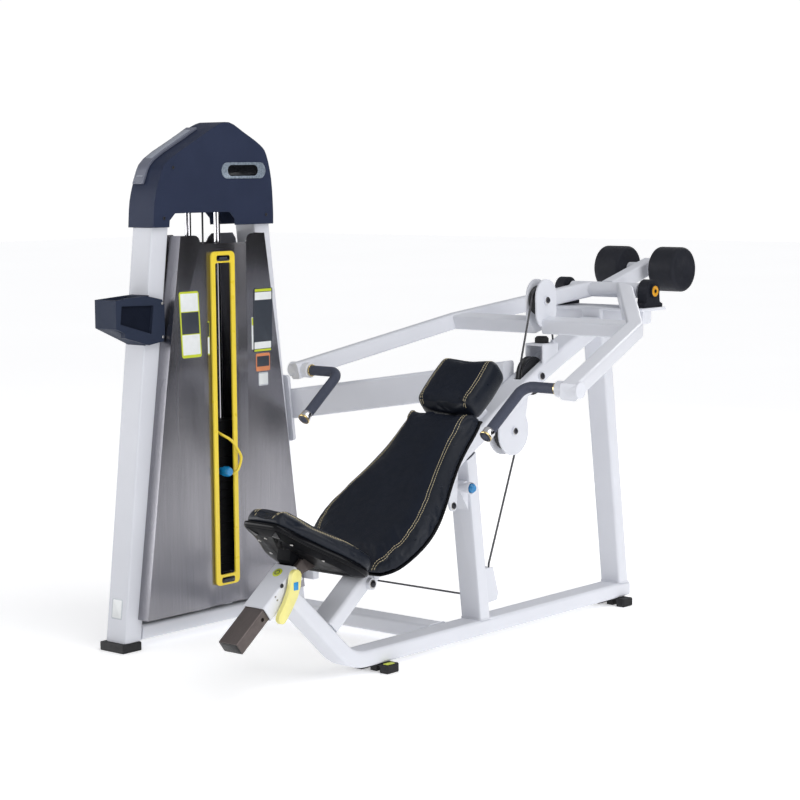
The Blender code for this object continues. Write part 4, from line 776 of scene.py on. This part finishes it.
def make_shells():
    """Moulded trays under the pads, with a rolled rim."""
    outline = smooth_loop(mirrored(SEAT_HALF))
    layers = [(0.052, -0.0240), (0.046, -0.0260), (0.040, -0.0255), (0.014, -0.0190), (0.006, -0.0165),
              (0.001, -0.0125), (0.0, -0.0085), (0.0, -0.0040), (0.002, -0.0010), (0.005, -0.0003)]
    shell = piece("seat_tray", stacked(outline, on_seat, layers), [LOOKS["shell_black"], UNDERSIDE],
                  "seat", smooth=60)
    for face in shell.data.polygons:
        face.material_index = int(face.normal.dot(plane_of(on_seat)[1][2]) < -0.9)
    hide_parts("seat_shell")
    outline = smooth_loop(mirrored(BACK_HALF))
    layers = [(0.030, -0.0560), (0.012, -0.0556), (0.005, -0.0540), (0.001, -0.0515), (0.001, -0.0485),
              (0.003, -0.0464)]
    shell = piece("back_tray", stacked(outline, on_back, layers), LOOKS["shell_black"], "frame",
                  smooth=60)
    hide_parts("back_shell")
    bm = bmesh.new()
    under = -(plane_of(on_seat)[1][2])
    for x, back in ((-0.016, 0.066), (0.060, 0.092), (-0.060, 0.092), (0.098, 0.190), (-0.098, 0.190)):
        cap_screw(bm, on_seat(x, back, -0.0258), under, 0.0050)
    piece("seat_tray_screws", bm, [ZINC, BOLT], "seat")


# ---- press arm trim -------------------------------------------------------------------------
def grip_trim():
    """End collars, gold rings and plugs on the two grips."""
    for name, side in (("left", 1), ("right", -1)):
        bm = bmesh.new()
        end = Vector((side * 0.345, 0.075, 0.696))
        corner = Vector((side * 0.352, 0.2455, 0.824))
        axis = (end - corner).normalized()
        lathe(bm, [(-0.0250, 0.0150), (-0.0250, 0.0168), (-0.0235, 0.0176), (-0.0070, 0.0176),
                   (-0.0056, 0.0168), (-0.0056, 0.0150)], end, axis, 40, 0)
        lathe(bm, [(-0.0054, 0.0140), (-0.0054, 0.0178), (-0.0046, 0.0184), (-0.0010, 0.0184),
                   (-0.0002, 0.0176), (-0.0002, 0.0140)], end, axis, 40, 1)
        lathe(bm, [(-0.0050, 0.0), (-0.0050, 0.0139), (-0.0012, 0.0139), (0.0, 0.0128), (0.0, 0.0105),
                   (-0.0012, 0.0095), (-0.0012, 0.0)], end, axis, 40, 0)
        lathe(bm, [(-0.0020, 0.0), (-0.0020, 0.0062), (-0.0002, 0.0062), (-0.0002, 0.0)], end, axis, 6, 2)
        near = side * 0.4680
        lathe(bm, [(0.0, 0.0150), (0.0, 0.0178), (0.0010, 0.0186), (0.0036, 0.0186), (0.0046, 0.0178),
                   (0.0046, 0.0150)], (near - side * 0.0046, 0.2455, 0.824), (side, 0, 0), 40, 1)
        piece("grip_collars_" + name, bm, [CHROME, GOLD, END_DISC], "press_arm")


def rollers():
    """Counterweights with rolled edges and a recessed washer."""
    for name, side in (("left", 1), ("right", -1)):
        bm = bmesh.new()
        near, far = 0.058, 0.158
        profile = [(far - 0.003, 0.0), (far - 0.003, 0.0125), (near, 0.0125), (near, 0.060)]
        for step in range(7):
            turn = step * pi / 12
            profile.append((near + 0.012 - 0.012 * cos(turn), 0.061 + 0.012 * sin(turn)))
        for step in range(7):
            turn = pi / 2 - step * pi / 12
            profile.append((far - 0.014 + 0.014 * cos(turn), 0.059 + 0.014 * sin(turn)))
        profile += [(far, 0.030), (far - 0.0015, 0.028), (far - 0.0015, 0.0)]
        lathe(bm, profile, WEIGHT_CENTRE, (side, 0, 0), 64, 0)
        roller = piece("roller_" + name, bm, LOOKS["weight_black"], "press_arm", smooth=50)
        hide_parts("counterweight_" + name)


def bearing_trim():
    """Gold end caps with a dark socket on the pillow blocks."""
    for name, side in (("left", 1), ("right", -1)):
        bm = bmesh.new()
        face = side * 0.1880
        lathe(bm, [(0.0, 0.0), (0.0, 0.0165), (0.0008, 0.0172), (0.0022, 0.0165), (0.0028, 0.0130),
                   (0.0016, 0.0110), (0.0016, 0.0)], (face, PIVOT.y, PIVOT.z), (side, 0, 0), 36, 0)
        lathe(bm, [(0.0010, 0.0), (0.0010, 0.0062), (0.0030, 0.0062), (0.0030, 0.0)],
              (face, PIVOT.y, PIVOT.z), (side, 0, 0), 6, 1)
        for y in (-0.046, 0.046):
            cap_screw(bm, (side * 0.1635, PIVOT.y + y, PIVOT.z - 0.0412), (0, 0, 1), 0.0060, 1, 1)
        piece("bearing_caps_" + name, bm, [ORANGE, BOLT], "frame")


def bolt_pair(bm, place, radius, rim, top):
    """A washer and a screw head on each side of the centre plane; rim and top are the washer's radii."""
    x, y, z = place
    for side in (1, -1):
        lathe(bm, [(0.0, 0.0), (0.0, rim), (0.0010, rim), (0.0014, top), (0.0014, 0.0)],
              (side * x, y, z), (side, 0, 0), 28, 0)
        cap_screw(bm, (side * x + side * 0.0012, y, z), (side, 0, 0), radius, 1, 1)


def bolts():
    """Dark bolt heads and washers on the frame and on the arm.

    Known fault: the last place is a lug that exists only on +X, so its -X head floats.
    """
    bm = bmesh.new()
    for place, radius in (((0.0467, 0.740, 0.795), 0.0090), ((0.0280, 0.628, 0.633), 0.0080),
                          ((0.0520, -0.071, 0.2685), 0.0095), ((0.0340, 0.317, 0.441), 0.0085)):
        bolt_pair(bm, place, radius, radius * 1.35, radius * 1.25)
    piece("frame_bolts", bm, [ZINC, BOLT], "frame")
    bm = bmesh.new()
    bolt_pair(bm, (0.0270, ARM_WHEEL.y, ARM_WHEEL.z), 0.0085, 0.0110, 0.0104)
    piece("arm_wheel_bolts", bm, [ZINC, BOLT], "press_arm")


# ---- tower trim -----------------------------------------------------------------------------
def hood_trim():
    bm = bmesh.new()
    for y, z in ((-0.127, 1.2965), (0.311, 1.2980), (-0.086, 1.4475)):
        cap_screw(bm, (HOOD_FACE_X, y, z), (1, 0, 0), 0.0052, 0, 0)
    piece("hood_screws", bm, BOLT, "frame")
    bm = bmesh.new()
    holder_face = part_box("accessory_holder")[1].x
    # The dark sheet is painted shade: the holder's own plastic drawn darker on the floor of its recess, where
    # shadow falls; the two screws are real.
    pocket = [(-0.3165, 0.9910), (-0.1965, 0.9565), (-0.1870, 1.0375), (-0.3105, 1.0415)]
    plate(bm, pocket, upright_place(holder_face - 0.0080), 0.0, 0.0010, 0, 0.0)
    for z in (0.942, 1.043):
        cap_screw(bm, (holder_face, -0.1485, z), (1, 0, 0), 0.0045, 1, 1)
    piece("holder_recess_shade_and_screws", bm, [RECESS_PAINTED_SHADE, ZINC], "frame")
    bm = bmesh.new()
    place = upright_place(HOOD_FACE_X)
    outer = [(y + 0.214, z + 1.437) for y, z in rounded_rect(0.192, 0.050, 0.0249, 8)]
    inner = [(y + 0.209, z + 1.437) for y, z in rounded_rect(0.132, 0.034, 0.0169, 8)]
    plate(bm, outer, place, 0.0, 0.0024, 0, 0.0012)
    plate(bm, inner, place, 0.0006, 0.0032, 1, 0.0008)
    piece("hood_badge", bm, [BADGE_RIM, BADGE_FACE], "frame")


def label(name, x, low, high, bands, lean=0.0):
    """A blank placard on a face that looks at +X. bands are (share from the top, share to, look)."""
    bm = bmesh.new()
    width, height = high[0] - low[0], high[1] - low[1]
    centre = ((low[0] + high[0]) / 2, (low[1] + high[1]) / 2)

    def place(a, b, depth):
        return Vector((x + depth, centre[0] + a + lean * b, centre[1] + b))

    looks = [bands[0][2]]
    plate(bm, rounded_rect(width, height, min(width, height) * 0.09), place, 0.0, 0.0008, 0, 0.0003)
    for start, end, look in bands[1:]:
        if look not in looks:
            looks.append(look)
        top, bottom = height * (0.5 - start), height * (0.5 - end)
        band = [(a, b + (top + bottom) / 2) for a, b in rounded_rect(width * 0.88, top - bottom, 0.0012, 3)]
        plate(bm, band, place, 0.0006, 0.00115, looks.index(look), 0.0002)
    piece(name, bm, looks, "frame")


def placards():
    label("placard_left", SHROUD_X + 0.0003, (-0.101, 0.874), (-0.019, 1.075),
          [(0, 1, LIME), (0.030, 0.300, PAPER), (0.312, 0.640, SLATE), (0.652, 0.955, PAPER)], -0.05)
    label("placard_left_narrow", PANEL_X + 0.0003, (0.0075, 0.876), (0.0290, 0.979),
          [(0, 1, LIME), (0.03, 0.45, SLATE), (0.47, 0.96, PAPER)])
    label("placard_right", SHROUD_X + 0.0003, (0.212, 0.870), (0.296, 1.071),
          [(0, 1, SLATE), (0.015, 0.055, LIME), (0.065, 0.185, PAPER), (0.84, 0.945, PAPER),
           (0.955, 0.985, LIME)], 0.03)
    label("placard_right_narrow", SHROUD_X + 0.0003, (0.2035, 0.880), (0.2100, 0.981),
          [(0, 1, PAPER), (0.02, 0.25, LIME), (0.27, 0.97, PAPER)])
    label("placard_caution", SHROUD_X + 0.0003, (0.221, 0.810), (0.283, 0.866),
          [(0, 1, TAG_ORANGE), (0.16, 0.74, SLATE)])
    label("placard_tag", SHROUD_X + 0.0003, (0.231, 0.764), (0.274, 0.806),
          [(0, 1, TAG_GREY), (0.10, 0.90, PAPER)])
    bm = bmesh.new()
    place = upright_place(FRAME_FACE_X)
    for z in (1.1700, 0.1695):
        capsule = [(y + TOWER_Y, z + b) for y, b in rounded_rect(0.056, 0.0175, 0.0060, 5)]
        plate(bm, capsule, place, 0.0, 0.0012, 0, 0.0005)
        band = [(y + TOWER_Y, z + b) for y, b in rounded_rect(0.034, 0.0070, 0.0020, 4)]
        plate(bm, band, place, 0.0010, 0.0016, 1, 0.0002)
    piece("slot_frame_badges", bm, [BADGE_FACE, SLATE], "frame")


def paint_rail_highlight():
    """A paler strip along the top of the hood's rail: painted highlight, the rail's own grey drawn lighter
    where light falls on its top.
    """
    line = ((-0.1395, 1.4170), (-0.126, 1.4420), (-0.096, 1.4755), (0.012, 1.5325), (0.056, 1.5540))
    bm = bmesh.new()
    rings = []
    for i, (y, z) in enumerate(line):
        ahead = Vector(line[min(i + 1, len(line) - 1)]) - Vector(line[max(i - 1, 0)])
        normal = Vector((-ahead.y, ahead.x)).normalized()
        rings.append([bm.verts.new((x, y + normal.x * lift, z + normal.y * lift))
                      for x, lift in ((-0.814, 0.0040), (-0.814, 0.0082), (-0.812, 0.0092), (-0.786, 0.0092),
                                      (-0.784, 0.0082), (-0.784, 0.0040))])
    for lower, upper in zip(rings, rings[1:]):
        for k in range(6):
            m = (k + 1) % 6
            bm.faces.new((lower[k], lower[m], upper[m], upper[k]))
    bm.faces.new(reversed(rings[0]))
    bm.faces.new(rings[-1])
    piece("hood_rail_painted_highlight", bm, RAIL_PAINTED_HIGHLIGHT, "frame")


# ---- bench trim -----------------------------------------------------------------------------
def sleeve_trim():
    bm = bmesh.new()
    lift = (on_sleeve(0, 1) - on_sleeve(0, 0)).normalized()
    centre = on_sleeve(0.0496, 0.0251, -0.006)
    lathe(bm, [(0.0, 0.0), (0.0, 0.0150), (0.0006, 0.0150), (0.0009, 0.0145), (0.0009, 0.0)], centre, lift,
          36, 0)
    lathe(bm, [(0.0005, 0.0062), (0.0005, 0.0085), (0.0012, 0.0085), (0.0012, 0.0062)], centre, lift, 30, 1)
    piece("sleeve_sticker", bm, [LIME, SLATE], "frame")
    bm = bmesh.new()
    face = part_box("seat_lever")[1].x
    centre = [Vector(point) for point in ((-0.3915, 0.3400), (-0.3960, 0.3150), (-0.4050, 0.2920),
                                          (-0.4250, 0.2620), (-0.4480, 0.2340))]
    half = (0.0195, 0.0205, 0.0195, 0.0175, 0.0165)
    near, far = [], []
    for i, (point, reach) in enumerate(zip(centre, half)):
        ahead = centre[min(i + 1, len(centre) - 1)] - centre[max(i - 1, 0)]
        side = Vector((-ahead.y, ahead.x)).normalized() * reach
        near.append(point + side)
        far.append(point - side)
    tip = [centre[-1] + Matrix.Rotation(pi * k / 7, 2) @ (far[-1] - centre[-1]) for k in range(1, 7)]
    top = [centre[0] + Matrix.Rotation(pi * k / 7, 2) @ (near[0] - centre[0]) for k in range(1, 7)]
    outline = [tuple(point) for point in far + tip + near[::-1] + top]
    plate(bm, outline, upright_place(face), -0.0130, 0.0, 0, 0.0022)
    lever = piece("lever_grip", bm, LOOKS["lever_yellow"], "seat_lever", smooth=50)
    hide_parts("seat_lever")
    bm = bmesh.new()
    patch = [(y - 0.3960, z + 0.3145) for y, z in rounded_rect(0.018, 0.022, 0.0015, 3)]
    plate(bm, patch, upright_place(face), 0.0, 0.0010, 0, 0.0003)
    piece("lever_trim", bm, SKY_BLUE, "seat_lever")
    bm = bmesh.new()

    def on_post_end(a, b, depth):
        return on_sleeve(-0.2080 - depth, b, a)

    plate(bm, rounded_rect(0.0632, 0.0322, 0.0025, 3), on_post_end, 0.0, 0.0014, 0, 0.0006)
    plate(bm, rounded_rect(0.0540, 0.0235, 0.0020, 3), on_post_end, 0.0010, 0.0024, 0, 0.0006)
    piece("post_plug", bm, PLUG, "seat")


def sleeve_bolt_and_knob_cup():
    bm = bmesh.new()
    cap_screw(bm, (0.0400, -0.4306, 0.3187), (1, 0, 0), 0.0062, 1, 1)
    cap_screw(bm, (0.0400, -0.4560, 0.2920), (1, 0, 0), 0.0030, 0, 1)
    cap_screw(bm, (0.0400, -0.4490, 0.2820), (1, 0, 0), 0.0030, 0, 1)
    piece("sleeve_screws", bm, [ZINC, BOLT], "frame")
    bm = bmesh.new()
    lathe(bm, [(0.040, 0.0126), (0.048, 0.0140), (0.056, 0.0160), (0.060, 0.0175), (0.072, 0.0178),
               (0.073, 0.0172), (0.073, 0.0160), (0.071, 0.0156), (0.0585, 0.0154), (0.0565, 0.0130),
               (0.0565, 0.0126)], LOCK_KNOB, (1, 0, 0), 40, 0)
    piece("knob_cup", bm, LOOKS["frame_white"], "frame")


def bracket_cover():
    """A dark moulded cover over the front of the bracket under the seat."""
    bm = bmesh.new()
    outline = [on_seat(0, 0.1335, -0.0268), on_seat(0, 0.1950, -0.0268), on_sleeve(0.0860, 0.0200),
               on_sleeve(0.0828, 0.0200), on_sleeve(0.0828, 0.0410)]
    plate(bm, [(point.y, point.z) for point in outline], upright_place(0.0), -0.0235, 0.0235, 0, 0.0010)
    piece("seat_bracket_cover", bm, UNDERSIDE, "seat")


def upright_tag():
    """A small blank plate low on the front upright, on the side that looks away from the bench."""
    bm = bmesh.new()
    height = 0.128
    face = TOWER_Y - 0.399 + UPRIGHT_LEAN * (height - DATUM)

    def place(a, b, depth):
        return Vector((TOWER_X + a, face + UPRIGHT_LEAN * b - depth, height + b))

    plate(bm, rounded_rect(0.046, 0.062, 0.004, 4), place, 0.0, 0.0009, 0, 0.0003)
    plate(bm, rounded_rect(0.038, 0.054, 0.003, 4), place, 0.0007, 0.0013, 1, 0.0002)
    piece("upright_tag", bm, [TAG_GREY, PAPER], "frame")


def foot_trim():
    bm = bmesh.new()
    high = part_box("base_foot_front")[1]
    tile = [(x + 0.0545, y - 0.006) for x, y in rounded_rect(0.019, 0.034, 0.003, 3)]
    plate(bm, tile, lambda a, b, depth: Vector((a, b, high.z + depth)), 0.0, 0.0010, 0, 0.0004)
    piece("foot_inset", bm, LIME, "frame")


def weld_beads():
    """Rippled weld seams where tubes meet the floor tube."""
    bm = bmesh.new()

    def bead(centre, across, along, width, height, radius):
        loop = []
        outline = rounded_rect(width, height, 0.010, 3)
        line = [Vector((*p, 0)) for p in outline] + [Vector((*outline[0], 0))]
        for i, spot in enumerate(even_points(line, 0.0030)):
            swing = 1 + 0.02 * (i % 2)
            loop.append(Vector(centre) + Vector(across) * spot.x * swing + Vector(along) * spot.y * swing)
        sweep(bm, loop, radius, 6, 0, closed=True)

    for post, foot_y in (("mid_post", MID_POST_Y), ("rear_post", REAR_POST_Y)):
        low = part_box(post)[0].z
        centre = (0, foot_y - POST_LEAN * (low - DATUM), low + 0.0008)
        bead(centre, (1, 0, 0), (0, 1, 0), 0.081, 0.0490, 0.0022)
    low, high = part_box("cross_tube")
    bead((high.x - 0.0005, 0.325, (low.z + high.z) / 2), (0, 1, 0), (0, 0, 1), 0.081, 0.0485, 0.0020)
    piece("weld_beads", bm, LOOKS["frame_white"], "frame")


set_camera()
set_studio()
set_floor()
dress_nodes()
make_pads()
make_shells()
grip_trim()
rollers()
bearing_trim()
bolts()
hood_trim()
placards()
paint_rail_highlight()
sleeve_trim()
sleeve_bolt_and_knob_cup()
bracket_cover()
upright_tag()
foot_trim()
weld_beads()
